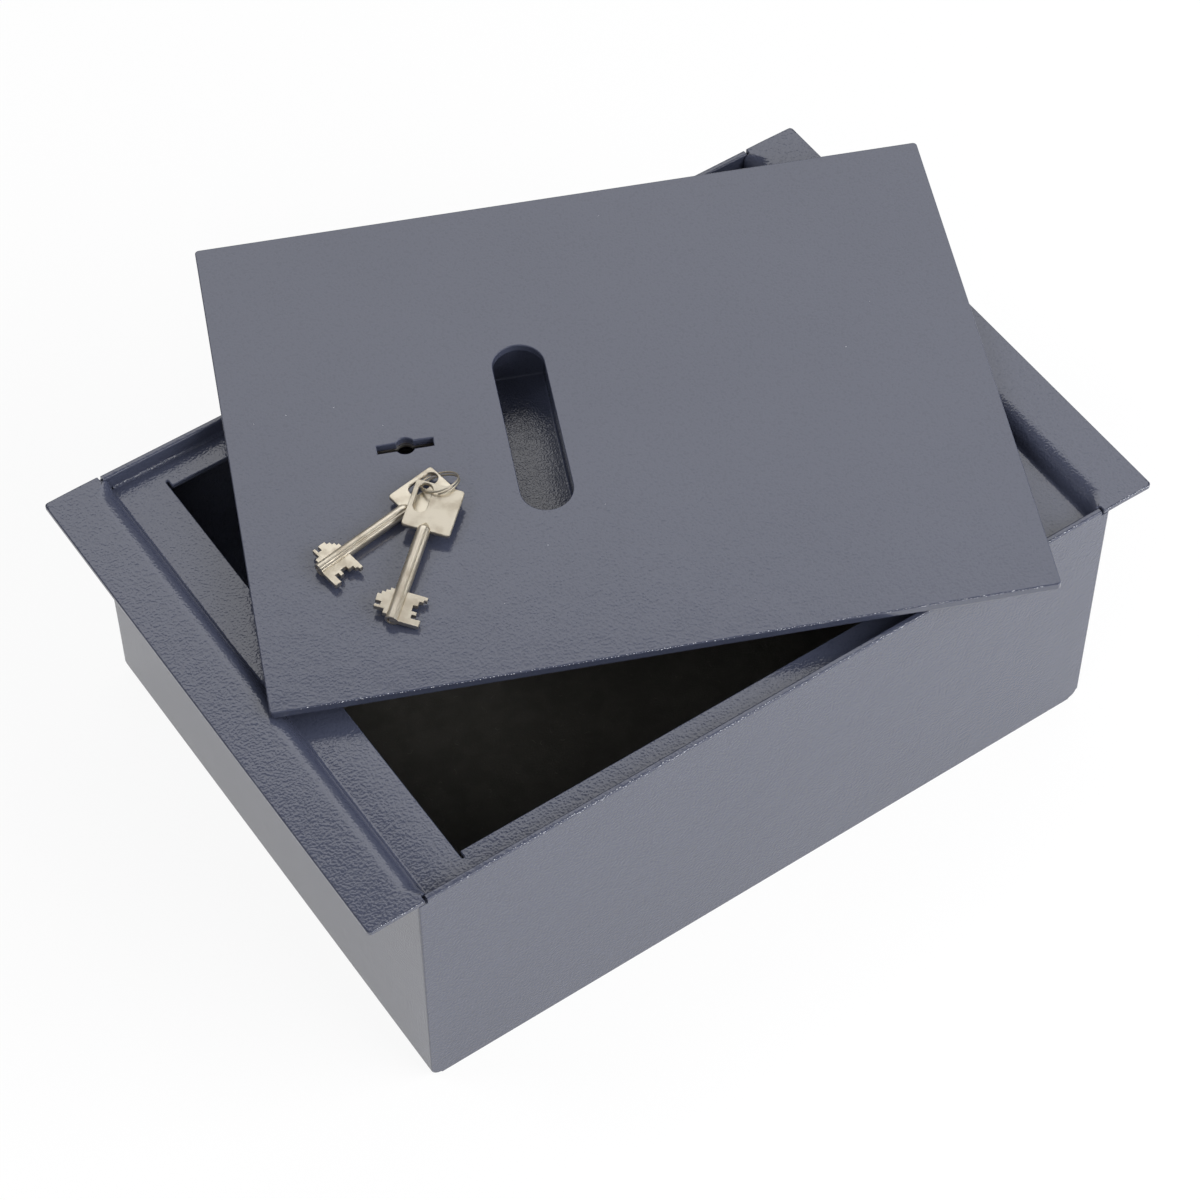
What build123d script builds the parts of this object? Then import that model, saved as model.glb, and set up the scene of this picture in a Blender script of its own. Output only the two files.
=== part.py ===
from build123d import *
from build123d import SkipClean
import math
import os

# A floor safe: a shallow steel box that hangs between joists by two end flanges, with a
# lift-out lid, a safe lock under the lid and two keys on a ring. Millimetres, +Z up, the
# origin at the middle of the box's underside. The lid lies askew on the box, as if it had
# just been lifted out, and the keys lie on the lid.

os.makedirs("parts", exist_ok=True)

# Box
body_length = 350.0
body_depth = 260.0
body_height = 137.0
sheet = 3.0
pan_bend_in = 2.0
flange_out = 23.0
weld_gap = 0.1

# Seat frame that carries the lid
seat_sheet = 2.5
top_bend_in = 1.0
foot_bend_in = 1.5
step_gap = 1.2
seat_fit = 0.2
rim_gap = 0.3
rim_round = 1.1
ledge_end = 28.6
ledge_side = 16.4
corner_cut_width = 1.2
corner_cut_length = 3.6
weld_leg = 2.0
flange_weld_leg = 2.4
flange_weld_run = 34.0
corner_weld_leg = 2.4

# Felt mat
mat_thick = 3.0
mat_gap = 3.2
mat_corner = 4.0

# Lid
lid_sheet = 4.0
lid_gap_end = 2.3
lid_gap_side = 0.5
lid_corner = 1.8
lid_edge = 0.5
bar_thick = 4.0
bar_width = 12.0
bar_set_back = 2.4
bar_end = 17.2
tongue_sheet = 2.8
tongue_width = 30.0
tongue_from_side = 56.5
tongue_clear = 0.3
tongue_reach = 11.5
tongue_step_in = 7.4
tongue_root = 26.0
tongue_bend_in = 0.8

# Handle slot and the pocket under it
slot_length = 91.0
slot_width = 22.8
slot_from_key = 55.4
slot_y = -1.3
pocket_sheet = 1.5
pocket_side = 1.6
pocket_end = 3.2
pocket_deep = 21.5
pocket_bend_in = 0.9
pocket_brim = 7.0

# Keyhole, measured from the lid's end nearest to it
key_in = 75.4
key_y = -1.2
keyhole_length = 24.4
keyhole_width = 4.1
keyhole_round = 8.6

# Keys
key_shank = 6.0
key_shank_length = 45.5
key_bore = 3.6
key_bore_deep = 17.0
key_bow_length = 23.5
key_bow_width = 21.4
key_bow_thick = 1.8
key_bow_off = 0.6
key_bow_corner = 1.5
key_hole_length = 14.4
key_hole_width = 6.0
key_hole_in = 15.2
key_hole_off = 4.9
key_bit_thick = 2.5
key_groove = 0.9
key_groove_turn = 32.0
key_neck = 5.0

# Steps of the key's two wings, in cuts of 0.1 mm: from, to, and reach from the shank's middle
key_cut = 0.1
long_bit = [(0, 30, 115), (30, 48, 72), (48, 64, 90), (64, 93, 66), (93, 116, 85),
            (116, 128, 102), (128, 145, 115)]
short_bit = [(20, 40, 46), (40, 53, 90), (53, 70, 66), (70, 105, 92), (105, 120, 76),
             (120, 133, 61), (133, 145, 45)]

# Split ring
ring_wire = 0.85
ring_mean = 16.44
ring_pitch = 1.33
ring_turns = 1.9
ring_sides = 6

# Lock
plate_hard = 4.0
bolt_thick = 5.0
bolt_clear = 0.5
bolt_run = 0.2
bolt_width = 22.0
bolt_throw = 12.0
bolt_in = 2.9
bolt_neck = 4.5
bolt_corner = 1.5
tail_past = 0.8
notch_corner = 0.8
case_wall = 2.0
case_nose = 6.0
case_rear = 22.5
case_far = 17.0
case_near = 24.5
case_ear = 9.6
case_inside = 15.2
cover_sheet = 2.0
key_floor_gap = 0.5
post_dia = 3.3
pin_dia = 5.0
pin_x = 17.5
pin_y = -17.0
guide_dia = 4.0
guide_back = 15.5
guide_y = 6.0
pin_fit = 0.06
lever_count = 5
lever_thick = 1.5
lever_space = 0.35
lever_swing = 3.0
lever_edge = -5.0
lever_back = 2.4
lever_tail = 3.0
lever_corner = 2.5
lever_eye = 2.2
stump = 4.0
stump_back = 28.0
stump_y = -12.0
gate_fit = 0.35
tail_low = -8.5
tail_high = -20.0
stud_dia = 4.0
stud_in = 8.0
stud_end = 5.4
nut_flats = 7.0
nut_high = 3.2
screw_dia = 2.5
screw_head = 5.4
screw_head_high = 1.7
screw_deep = 6.0
screw_short = 1.0
boss_root = 0.7
hole_fit = 0.25
washer_dia = 30.0
washer_thick = 1.2
washer_fit = 0.2
washer_round = 7.2
washer_slot = 3.5
spring_thick = 0.4
spring_run = 22.0
spring_rise = 2.2
spring_root = 10.0

# How the lid lies: its middle, its turn, and the gap left where it rests
lid_x = 26.2
lid_y = 27.8
lid_turn = -23.7
rest_gap = 0.12

# How the keys lie on the lid: where the middle of each bow's hole stands from the keyhole,
# how far it is raised above the key's tip, and the key's turn and roll
under_key_x = 6.546
under_key_y = -29.689
under_key_rise = 1.102
under_key_turn = 30.4
under_key_roll = -0.65
upper_key_x = 6.827
upper_key_y = -37.33
upper_key_rise = 3.97
upper_key_turn = 63.7
upper_key_roll = 6.6
key_rest = 0.12

# How the ring hangs through both bows: its middle from the keyhole and above the lid, its
# turn, lean and start
ring_x = 10.99
ring_y = -27.35
ring_rise = 6.22
ring_turn = 18.7
ring_lean = -30.6
ring_start = 237.6

# Dependent sizes of the box
recess = lid_sheet + bar_thick
step_out = body_length / 2 - sheet - step_gap
step_in = step_out - seat_sheet
flange_tip = body_length / 2 + flange_out
wall_inside = body_depth / 2 - sheet
flange_under = body_height - seat_sheet
ledge_top = body_height - recess
ledge_under = ledge_top - seat_sheet
wall_top = flange_under - weld_gap
pan_bend_out = pan_bend_in + sheet
opening_length = body_length - 2 * ledge_end
opening_depth = body_depth - 2 * ledge_side
flange_rest = body_length / 2 + flange_weld_leg + weld_gap

# Dependent sizes of the lid
lid_length = 2 * (step_in - lid_gap_end)
lid_depth = 2 * (wall_inside - lid_gap_side)
tongue_off = lid_depth / 2 - tongue_from_side
tongue_drop = bar_thick + seat_sheet + tongue_clear
tongue_tip = opening_length / 2 + tongue_reach
tongue_step = opening_length / 2 - tongue_step_in
bar_edge = lid_depth / 2 - bar_set_back
key_x = -lid_length / 2 + key_in
slot_x = key_x + slot_from_key

# Dependent sizes of the lock, in a frame with its origin on the key's axis at the underside
# of the lid; the bolt goes out towards -X
bolt_top = -(bar_thick + seat_sheet + bolt_clear)
bolt_bottom = bolt_top - bolt_thick
bolt_nose = -opening_length / 2 + bolt_in - key_x
case_front = bolt_nose + case_nose
case_top = -plate_hard
case_floor = bolt_top + bolt_run
case_bottom = case_floor - case_inside
cover_bottom = case_bottom - cover_sheet
guide_x = bolt_nose + guide_back
stump_x = bolt_nose + stump_back
lever_pitch = lever_thick + lever_space
lever_top = bolt_bottom - lever_space
key_tip_z = case_bottom + key_floor_gap
key_bit_edge = long_bit[-1][1] * key_cut


def rounded_face(corners, soften=fillet):
    """A flat face through corners given as (x, y, size of the rounding or bevel)."""
    face = make_face(Polyline(*[(x, y) for x, y, radius in corners], close=True))
    for x, y, radius in corners:
        if radius > 0:
            corner = face.vertices().sort_by_distance((x, y, 0))[0]
            face = soften(corner, radius)
    return face


def along_depth(face, depth):
    """A face drawn in X and Z, carried along Y to both sides of the middle."""
    return extrude(Plane.XZ * face, amount=depth / 2, both=True)


def box_between(x0, x1, y0, y1, z0, z1):
    """A block from its six limits."""
    middle = Pos((x0 + x1) / 2, (y0 + y1) / 2, (z0 + z1) / 2)
    return middle * Box(x1 - x0, y1 - y0, z1 - z0)


def rod(x, y, z0, z1, diameter):
    """An upright round bar."""
    return Pos(x, y, (z0 + z1) / 2) * Cylinder(diameter / 2, z1 - z0)


def bead(leg, length):
    """A weld bead along X in the corner between -Y and +Z, hollow-faced like real weld."""
    dip = leg * 0.42
    face = make_face(
        Polyline((0, leg), (0, 0), (-leg, 0))
        + ThreePointArc((-leg, 0), (-dip, dip), (0, leg))
    )
    return extrude(Plane.YZ * face, amount=length / 2, both=True)


def base_pan():
    """Floor and both end walls, bent up from one sheet."""
    end = body_length / 2
    inner = end - sheet
    face = rounded_face([
        (-end, 0, pan_bend_out),
        (end, 0, pan_bend_out),
        (end, wall_top, 0),
        (inner, wall_top, 0),
        (inner, sheet, pan_bend_in),
        (-inner, sheet, pan_bend_in),
        (-inner, wall_top, 0),
        (-end, wall_top, 0),
    ])
    return along_depth(face, body_depth - 2 * sheet)


def side_wall(side):
    """Front (-1) or back (+1) wall; its top edge is the rim between the two flanges."""
    end = body_length / 2
    rim = step_out - rim_gap
    face = rounded_face([
        (-end, 0, pan_bend_out),
        (end, 0, pan_bend_out),
        (end, wall_top, 0),
        (rim, wall_top, 0),
        (rim, body_height, 0),
        (-rim, body_height, 0),
        (-rim, wall_top, 0),
        (-end, wall_top, 0),
    ])
    wall = Pos(0, side * (wall_inside + sheet / 2), 0) * along_depth(face, sheet)
    long_top = wall.edges().filter_by(Axis.X).group_by(Axis.Z)[-1]
    return fillet(long_top, rim_round)


def seat_frame():
    """Ledge round the opening, stepped up at both ends into the flanges."""
    face = rounded_face([
        (flange_tip, body_height, 0),
        (step_in, body_height, top_bend_in + seat_sheet),
        (step_in, ledge_top, foot_bend_in),
        (-step_in, ledge_top, foot_bend_in),
        (-step_in, body_height, top_bend_in + seat_sheet),
        (-flange_tip, body_height, 0),
        (-flange_tip, flange_under, 0),
        (-step_out, flange_under, top_bend_in),
        (-step_out, ledge_under, foot_bend_in + seat_sheet),
        (step_out, ledge_under, foot_bend_in + seat_sheet),
        (step_out, flange_under, top_bend_in),
        (flange_tip, flange_under, 0),
    ])
    frame = along_depth(face, body_depth)
    bend_end = step_out + top_bend_in
    for side in (-1, 1):
        edge = side * (wall_inside - seat_fit)
        outer = side * body_depth
        near = min(edge, outer)
        far = max(edge, outer)
        low = ledge_under - sheet
        frame -= box_between(-step_out, step_out, near, far, low, body_height + sheet)
        frame -= box_between(-bend_end, bend_end, near, far, low, flange_under)
    frame -= opening_cut()
    corners = frame.edges().filter_by(Axis.Z).group_by(Axis.X)
    frame = fillet(corners[0] + corners[-1], lid_corner)
    return with_rest_lines(frame)


def with_rest_lines(frame):
    """The frame with its faces parted by a line across each flange, clear of the end wall and
    its welds, so that the strip outside the line is the face that a joist carries."""
    middle = frame & box_between(-flange_rest, flange_rest, -body_depth, body_depth,
                                 0, 2 * body_height)
    tips = [
        frame & box_between(-flange_tip, -flange_rest, -body_depth, body_depth,
                            0, 2 * body_height),
        frame & box_between(flange_rest, flange_tip, -body_depth, body_depth,
                            0, 2 * body_height),
    ]
    with SkipClean():
        parted = middle.fuse(*tips)
    return parted


def opening_cut():
    """The opening in the ledge, its corners cut past by the saw as on the real sheet."""
    cut = Pos(0, 0, ledge_top) * Box(opening_length, opening_depth, 4 * seat_sheet)
    for end in (-1, 1):
        x = end * (opening_length / 2 - corner_cut_width / 2)
        cut += Pos(x, 0, ledge_top) * Box(
            corner_cut_width, opening_depth + 2 * corner_cut_length, 4 * seat_sheet)
    return cut


def ledge_welds():
    """Weld along the foot of the front and back rims."""
    length = 2 * (step_in - foot_bend_in)
    back = Pos(0, wall_inside, ledge_top) * bead(weld_leg, length)
    front = back.rotate(Axis.Z, 180)
    return Compound(children=[back, front])


def flange_welds():
    """Short welds under the flanges, three on each end wall."""
    beads = []
    for end in (-1, 1):
        for place in (-1, 0, 1):
            run = bead(flange_weld_leg, flange_weld_run).rotate(Axis.X, 90)
            run = run.rotate(Axis.Z, 90 * end)
            x = end * body_length / 2
            y = place * (body_depth / 2 - flange_weld_run)
            beads.append(Pos(x, y, flange_under) * run)
    return Compound(children=beads)


def corner_welds():
    """Upright welds in the four inside corners of the box."""
    beads = []
    high = ledge_under - weld_gap - sheet - pan_bend_in
    middle = sheet + pan_bend_in + high / 2
    inside = body_length / 2 - sheet
    for turn, x, y in ((0, 1, 1), (90, -1, 1), (180, -1, -1), (270, 1, -1)):
        run = bead(corner_weld_leg, high).rotate(Axis.Y, -90).rotate(Axis.Z, turn)
        beads.append(Pos(x * inside, y * wall_inside, middle) * run)
    return Compound(children=beads)


def floor_mat():
    """Felt mat that lies loose on the floor of the box."""
    length = body_length - 2 * (sheet + mat_gap)
    depth = body_depth - 2 * (sheet + mat_gap)
    outline = RectangleRounded(length, depth, mat_corner)
    return Pos(0, 0, sheet) * extrude(outline, amount=mat_thick)


def keyhole_outline(length, width, round_dia):
    """Slot for the two bits of the key, with the round for its shank."""
    return Rectangle(length, width) + Circle(round_dia / 2)


def lid_plate():
    """Flat lid with the handle slot and the keyhole."""
    plate = extrude(RectangleRounded(lid_length, lid_depth, lid_corner), amount=lid_sheet)
    plate = fillet(plate.faces().sort_by(Axis.Z)[-1].edges(), lid_edge)
    slot = Rot(0, 0, 90) * SlotOverall(slot_length, slot_width)
    plate -= Pos(slot_x, slot_y, 0) * extrude(slot, amount=lid_sheet)
    mouth = plate.faces().sort_by(Axis.Z)[-1].inner_wires()[0]
    plate = chamfer(mouth.edges(), lid_edge)
    hole = keyhole_outline(keyhole_length, keyhole_width, keyhole_round)
    return plate - Pos(key_x, key_y, 0) * extrude(hole, amount=lid_sheet)


def handle_pocket():
    """Folded pan under the handle slot: walls all round, a floor and a brim."""
    long = slot_length + 2 * pocket_end
    wide = slot_width + 2 * pocket_side
    sheets = 2 * pocket_sheet
    bend_out = pocket_bend_in + pocket_sheet
    outer = extrude(Rectangle(wide + sheets, long + sheets), amount=-pocket_deep - pocket_sheet)
    outer = fillet(outer.faces().sort_by(Axis.Z)[0].edges(), bend_out)
    outer += extrude(
        RectangleRounded(wide + sheets + 2 * pocket_brim, long + sheets + 2 * pocket_brim,
                         bend_out), amount=-pocket_sheet)
    inner = extrude(Rectangle(wide, long), amount=-pocket_deep)
    inner = fillet(inner.faces().sort_by(Axis.Z)[0].edges(), pocket_bend_in)
    return Pos(slot_x, slot_y, 0) * (outer - inner)


def stiffener_bar(side):
    """Flat bar under one long edge of the lid; it stands on the ledge when the lid is in."""
    length = lid_length - 2 * bar_end
    y = side * (bar_edge - bar_width / 2)
    return Pos(0, y, -bar_thick / 2) * Box(length, bar_width, bar_thick)


def lid_tongue(side):
    """Stepped tongue that hooks under the ledge at the end away from the lock."""
    low = -tongue_drop
    bend_out = tongue_bend_in + tongue_sheet
    face = rounded_face([
        (tongue_step - tongue_root, 0, 0),
        (tongue_step, 0, bend_out),
        (tongue_step, low, tongue_bend_in),
        (tongue_tip, low, 0),
        (tongue_tip, low - tongue_sheet, 0),
        (tongue_step - tongue_sheet, low - tongue_sheet, bend_out),
        (tongue_step - tongue_sheet, -tongue_sheet, tongue_bend_in),
        (tongue_step - tongue_root, -tongue_sheet, 0),
    ])
    return Pos(0, side * tongue_off, 0) * along_depth(face, tongue_width)


def stud_places():
    """The four studs that carry the lock, in the lock's frame."""
    near = -(case_near + case_wall + case_ear - stud_end)
    far = case_far + case_wall + case_ear - stud_end
    return [(x, y) for x in (case_front + stud_in, case_rear - stud_in) for y in (near, far)]


def screw_places():
    """The four cover screws: two bosses, the guide pin and the lever pin."""
    inset = screw_head / 2 - boss_root
    boss_y = case_far - inset
    return [(case_front + case_wall + inset, boss_y), (case_rear - inset, boss_y),
            (guide_x, guide_y), (pin_x, pin_y)]


def ear_outline():
    """Outline shared by the hard plate and the flange of the lock case."""
    near = -(case_near + case_wall + case_ear)
    far = case_far + case_wall + case_ear
    rear = case_rear + case_wall
    face = Rectangle(rear - case_front, far - near)
    face = chamfer(face.vertices(), stud_end / 2)
    return Pos((rear + case_front) / 2, (far + near) / 2, 0) * face


def hard_plate():
    """Hardened plate between the lid and the lock, holed for the key and the studs."""
    plate = extrude(ear_outline(), amount=-plate_hard)
    hole = keyhole_outline(keyhole_length, keyhole_width, keyhole_round)
    plate -= extrude(hole, amount=-plate_hard)
    plate -= rod(0, 0, -washer_thick - washer_fit, 0, washer_dia + 2 * washer_fit)
    for x, y in stud_places():
        plate -= rod(x, y, -plate_hard, 0, stud_dia + 2 * hole_fit)
    return plate


def keyhole_washer():
    """Bright washer behind the keyhole that guides the key's shank."""
    disc = extrude(Circle(washer_dia / 2), amount=-washer_thick)
    hole = keyhole_outline(keyhole_length + washer_fit, washer_slot, washer_round)
    return disc - extrude(hole, amount=-washer_thick)


def lock_case():
    """Case open downwards, with ears for the studs and bosses for the cover."""
    flange = Pos(0, 0, case_top) * extrude(ear_outline(), amount=case_floor - case_top)
    rear = case_rear + case_wall
    near = -(case_near + case_wall)
    far = case_far + case_wall
    walls = box_between(case_front, rear, near, far, case_bottom, case_floor)
    walls = chamfer(walls.edges().filter_by(Axis.Z), case_wall / 2)
    walls -= box_between(case_front + case_wall, case_rear, -case_near, case_far,
                         case_bottom, case_floor)
    case = flange + walls
    for x, y in screw_places()[:2]:
        case += rod(x, y, case_bottom, case_floor, screw_head)
    half = bolt_width / 2 + bolt_run
    case -= box_between(case_front - case_wall, case_front + 2 * case_wall, -half, half,
                        bolt_bottom - bolt_run, case_floor)
    hole = keyhole_outline(keyhole_length, keyhole_width, keyhole_round)
    case -= Pos(0, 0, case_floor) * extrude(hole, amount=case_top - case_floor)
    for x, y in stud_places():
        case -= rod(x, y, case_floor, case_top, stud_dia + 2 * hole_fit)
    for x, y in screw_places()[:2]:
        case -= rod(x, y, case_bottom, case_bottom + screw_deep, screw_dia)
    return case


def lock_cover():
    """Cover plate that closes the case from below."""
    rear = case_rear + case_wall
    near = -(case_near + case_wall)
    far = case_far + case_wall
    plate = box_between(case_front, rear, near, far, cover_bottom, case_bottom)
    plate = chamfer(plate.edges().filter_by(Axis.Z), case_wall)
    for x, y in screw_places():
        plate -= rod(x, y, cover_bottom, case_bottom, screw_dia)
    return plate - rod(0, 0, cover_bottom, case_bottom, post_dia)


def key_post():
    """Post that the hollow key slides on, riveted into the cover."""
    top = case_top - washer_thick
    post = rod(0, 0, cover_bottom, top, post_dia)
    post = chamfer(post.faces().sort_by(Axis.Z)[-1].edges(), post_dia / 6)
    rivet = rod(0, 0, cover_bottom - post_dia / 4, cover_bottom, post_dia * 1.6)
    return post + rivet


def lever_pin():
    """Pin that the levers turn on."""
    pin = rod(pin_x, pin_y, case_bottom, case_floor, pin_dia)
    return pin - rod(pin_x, pin_y, case_bottom, case_bottom + screw_deep, screw_dia)


def guide_pin():
    """Pin in the bolt's slot that keeps the bolt straight."""
    pin = rod(guide_x, guide_y, case_bottom, case_floor, guide_dia)
    return pin - rod(guide_x, guide_y, case_bottom, case_bottom + screw_deep, screw_dia)


def lock_studs():
    """Studs welded to the underside of the lid."""
    low = case_floor - 2 * nut_high
    return Compound(children=[rod(x, y, low, 0, stud_dia) for x, y in stud_places()])


def lock_nuts():
    """Hexagon nuts that hold the lock case on its studs."""
    nuts = []
    for x, y in stud_places():
        nut = extrude(RegularPolygon(nut_flats / 2, 6, major_radius=False), amount=-nut_high)
        nut = nut - rod(0, 0, -nut_high, 0, stud_dia)
        nuts.append(Pos(x, y, case_floor) * nut)
    return Compound(children=nuts)


def cover_screws():
    """Slotted screws that hold the cover."""
    screws = []
    for x, y in screw_places():
        head = rod(x, y, cover_bottom - screw_head_high, cover_bottom, screw_head)
        slot_z = cover_bottom - screw_head_high
        head -= Pos(x, y, slot_z) * Box(screw_head, screw_head / 7, screw_head_high)
        shank = rod(x, y, cover_bottom, case_bottom + screw_deep - screw_short, screw_dia)
        screws.append(head + shank)
    return Compound(children=screws)


def lock_bolt():
    """Bolt with its head, its tail beside the key and the stump for the lever gates."""
    half = bolt_width / 2
    neck = -keyhole_length / 2 - bolt_neck
    tail_end = keyhole_length / 2 + tail_past
    notch = bolt_throw / 2
    bit = key_bit_edge / 4
    face = rounded_face([
        (bolt_nose, -half, bolt_corner),
        (bolt_nose, half, bolt_corner),
        (neck, half, bolt_corner),
        (neck, tail_low, bolt_corner),
        (notch - bit, tail_low, notch_corner),
        (notch - bit, tail_low - bit, notch_corner),
        (notch + bit, tail_low - bit, notch_corner),
        (notch + bit, tail_low, notch_corner),
        (tail_end, tail_low, notch_corner),
        (tail_end, tail_high, bolt_corner),
        (stump_x - 2 * stump + bolt_corner, tail_high, 2 * bolt_corner),
        (stump_x - 2 * stump + bolt_corner, -half, bolt_corner),
    ], chamfer)
    bolt = Pos(0, 0, bolt_bottom) * extrude(face, amount=bolt_thick)
    slot = SlotCenterToCenter(bolt_throw, guide_dia + 2 * bolt_run)
    slot = Pos(guide_x + bolt_throw / 2, guide_y, bolt_bottom) * slot
    bolt -= extrude(slot, amount=bolt_thick)
    low = lever_top - lever_count * lever_pitch
    post = box_between(stump_x - stump / 2, stump_x + stump / 2,
                       stump_y - stump / 2, stump_y + stump / 2, low, bolt_bottom)
    return bolt + chamfer(post.edges().filter_by(Axis.Z), stump / 8)


def gate_window():
    """Two pockets and the gate between them, cut in each lever round the stump's path."""
    swing = math.radians(lever_swing)
    reach_x = stump_x - bolt_throw - pin_x
    reach_y = stump_y - pin_y
    end_x = pin_x + reach_x * math.cos(swing) + reach_y * math.sin(swing)
    end_y = pin_y + reach_y * math.cos(swing) - reach_x * math.sin(swing)
    half = stump / 2 + gate_fit
    left = end_x - half
    right = stump_x + half
    low = min(stump_y, end_y) - half - stump / 2
    high = max(stump_y, end_y) + half + stump / 4
    middle = (left + right) / 2
    web = stump / 2
    slope = (end_y - stump_y) / (end_x - stump_x)
    gate_mid = stump_y + slope * (middle - stump_x)
    gate_half = half + abs(slope) * (web + half)
    pockets = Pos((left + middle - web) / 2, (low + high) / 2, 0) * Rectangle(
        middle - web - left, high - low)
    pockets += Pos((right + middle + web) / 2, (low + high) / 2, 0) * Rectangle(
        right - middle - web, high - low)
    return pockets + Pos(middle, gate_mid, 0) * Rectangle(2 * web + 2 * gate_fit, 2 * gate_half)


def bit_reach(depth):
    """How far the key's long bit reaches at a depth from its tip."""
    for start, end, reach in long_bit:
        if start * key_cut <= depth < end * key_cut:
            return reach * key_cut
    return key_shank / 2


def lever(number):
    """One lever: pivot eye, gate, and a belly worn to the step of the key that lifts it."""
    z = lever_top - number * lever_pitch
    far_end = stump_x - bolt_throw - stump / 2 - gate_fit - lever_tail
    body = rounded_face([
        (pin_x, lever_edge, 0),
        (far_end, lever_edge, lever_corner),
        (far_end, pin_y - lever_back, lever_corner),
        (pin_x, pin_y - lever_back, 0),
    ], chamfer)
    body += Pos(pin_x, pin_y, 0) * Circle(pin_dia / 2 + lever_eye)
    depth = z - lever_thick / 2 - key_tip_z
    lift = pin_x * math.sin(math.radians(lever_swing))
    body -= Circle(bit_reach(depth) - lift)
    body -= gate_window()
    body -= Pos(pin_x, pin_y, 0) * Circle(pin_dia / 2 + pin_fit)
    return Pos(0, 0, z - lever_thick) * extrude(body, amount=lever_thick)


def lever_springs():
    """Leaf springs staked on the backs of the levers, pressing on the case wall."""
    back = pin_y - lever_back
    springs = []
    for number in range(lever_count):
        z = lever_top - number * lever_pitch - lever_thick
        start = pin_x - spring_root
        inner = ThreePointArc((start, back), (start - spring_run / 2, back - spring_rise / 4),
                              (start - spring_run, back - spring_rise))
        outer = ThreePointArc((start - spring_run, back - spring_rise - spring_thick),
                              (start - spring_run / 2, back - spring_rise / 4 - spring_thick),
                              (start, back - spring_thick))
        tip = Line(inner @ 1, outer @ 0)
        root = Line(outer @ 1, inner @ 0)
        face = make_face(inner + tip + outer + root)
        springs.append(Pos(0, 0, z) * extrude(face, amount=lever_thick))
    return Compound(children=springs)


def bit_outline(steps, side):
    """One wing of the key: a stepped outline from the shank's middle line."""
    points = [(steps[0][0] * key_cut, 0)]
    for start, end, reach in steps:
        points.append((start * key_cut, side * reach * key_cut))
        points.append((end * key_cut, side * reach * key_cut))
    points.append((steps[-1][1] * key_cut, 0))
    return make_face(Polyline(*points, close=True))


def key():
    """Pipe key along X from its tip: hollow shank, two stepped wings and a square bow."""
    shank = Rot(0, 90, 0) * Cylinder(key_shank / 2, key_shank_length)
    shank = Pos(key_shank_length / 2, 0, 0) * shank
    fade = Rot(0, 90, 0) * Cone(key_shank / 2, key_bow_thick / 3, key_neck)
    wings = bit_outline(long_bit, -1) + bit_outline(short_bit, 1)
    wings = extrude(wings, amount=key_bit_thick / 2, both=True)
    bow = Rectangle(key_bow_length, key_bow_width)
    bow = fillet(bow.vertices(), key_bow_corner)
    bow = Pos(key_shank_length + key_bow_length / 2, -key_bow_off, 0) * bow
    hole = SlotOverall(key_hole_length, key_hole_width)
    bow -= Pos(key_shank_length + key_hole_in, key_hole_off, 0) * hole
    bow = extrude(bow, amount=key_bow_thick / 2, both=True)
    solid = bow + shank + Pos(key_shank_length + key_neck / 2, 0, 0) * fade + wings
    bore = Rot(0, 90, 0) * Cylinder(key_bore / 2, key_bore_deep)
    solid -= Pos(key_bore_deep / 2, 0, 0) * bore
    groove = Rot(45, 0, 0) * Box(key_shank_length, key_groove, key_groove)
    groove = Pos(key_shank_length / 2 - key_groove, 0, key_shank / 2) * groove
    return solid - Rot(key_groove_turn, 0, 0) * groove


def place_key(x, y, rise, turn, roll):
    """Where a key lies: its tip down on the lid, its bow raised and rolled to one side."""
    hole = key_shank_length + key_hole_in
    lift = math.degrees(math.asin(rise / hole))
    height = lid_sheet + key_shank / 2 + key_rest + rise
    spot = Location((key_x + x, key_y + y, height), (0, 0, turn))
    spot = spot * Location((0, 0, 0), (0, -lift, 0)) * Location((0, 0, 0), (roll, 0, 0))
    return spot * Pos(-hole, 0, 0)


def ring_point(turns):
    """A point of the ring's centre line, and its direction, after so many turns."""
    radius = ring_mean / 2
    angle = math.radians(ring_start + 360 * turns)
    height = ring_pitch * (turns - ring_turns / 2)
    point = Vector(radius * math.cos(angle), radius * math.sin(angle), height)
    climb = ring_pitch / (2 * math.pi)
    way = Vector(-radius * math.sin(angle), radius * math.cos(angle), climb)
    return point, way.normalized()


def two_arcs(start, start_way, end, end_way):
    """Two arcs that leave one point and reach another in given directions."""
    span = end - start
    bend = 2 * (1 - start_way.dot(end_way))
    along = span.dot(start_way + end_way)
    reach = (math.sqrt(along * along + bend * span.dot(span)) - along) / bend
    first = start + start_way * reach
    last = end - end_way * reach
    meet = (first + last) * 0.5
    return [TangentArc(start, meet, tangent=start_way),
            TangentArc(meet, end, tangent=last - first)]


def ring_gap():
    """Least gap between the ring's two turns, measured on points of its centre line."""
    steps = 400
    points = [ring_point(ring_turns * step / steps)[0] for step in range(steps + 1)]
    half_turn = round(steps / ring_turns / 2)
    least = min((points[i] - points[j]).length
                for i in range(steps + 1) for j in range(i + half_turn, steps + 1))
    return least - ring_wire


def key_ring():
    """Split ring of nearly two turns, one unbroken wire."""
    quarters = round(4 * ring_turns)
    arcs = []
    for quarter in range(quarters):
        start = ring_point(ring_turns * quarter / quarters)
        end = ring_point(ring_turns * (quarter + 1) / quarters)
        arcs += two_arcs(*start, *end)
    point, way = ring_point(0)
    section = Plane(origin=point, z_dir=way) * RegularPolygon(ring_wire / 2, ring_sides)
    ring = sweep(section, path=Wire(arcs))
    middle = (key_x + ring_x, key_y + ring_y, lid_sheet + ring_rise)
    spot = Location(middle, (0, 0, ring_turn))
    return spot * Location((0, 0, 0), (ring_lean, 0, 0)) * ring


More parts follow.
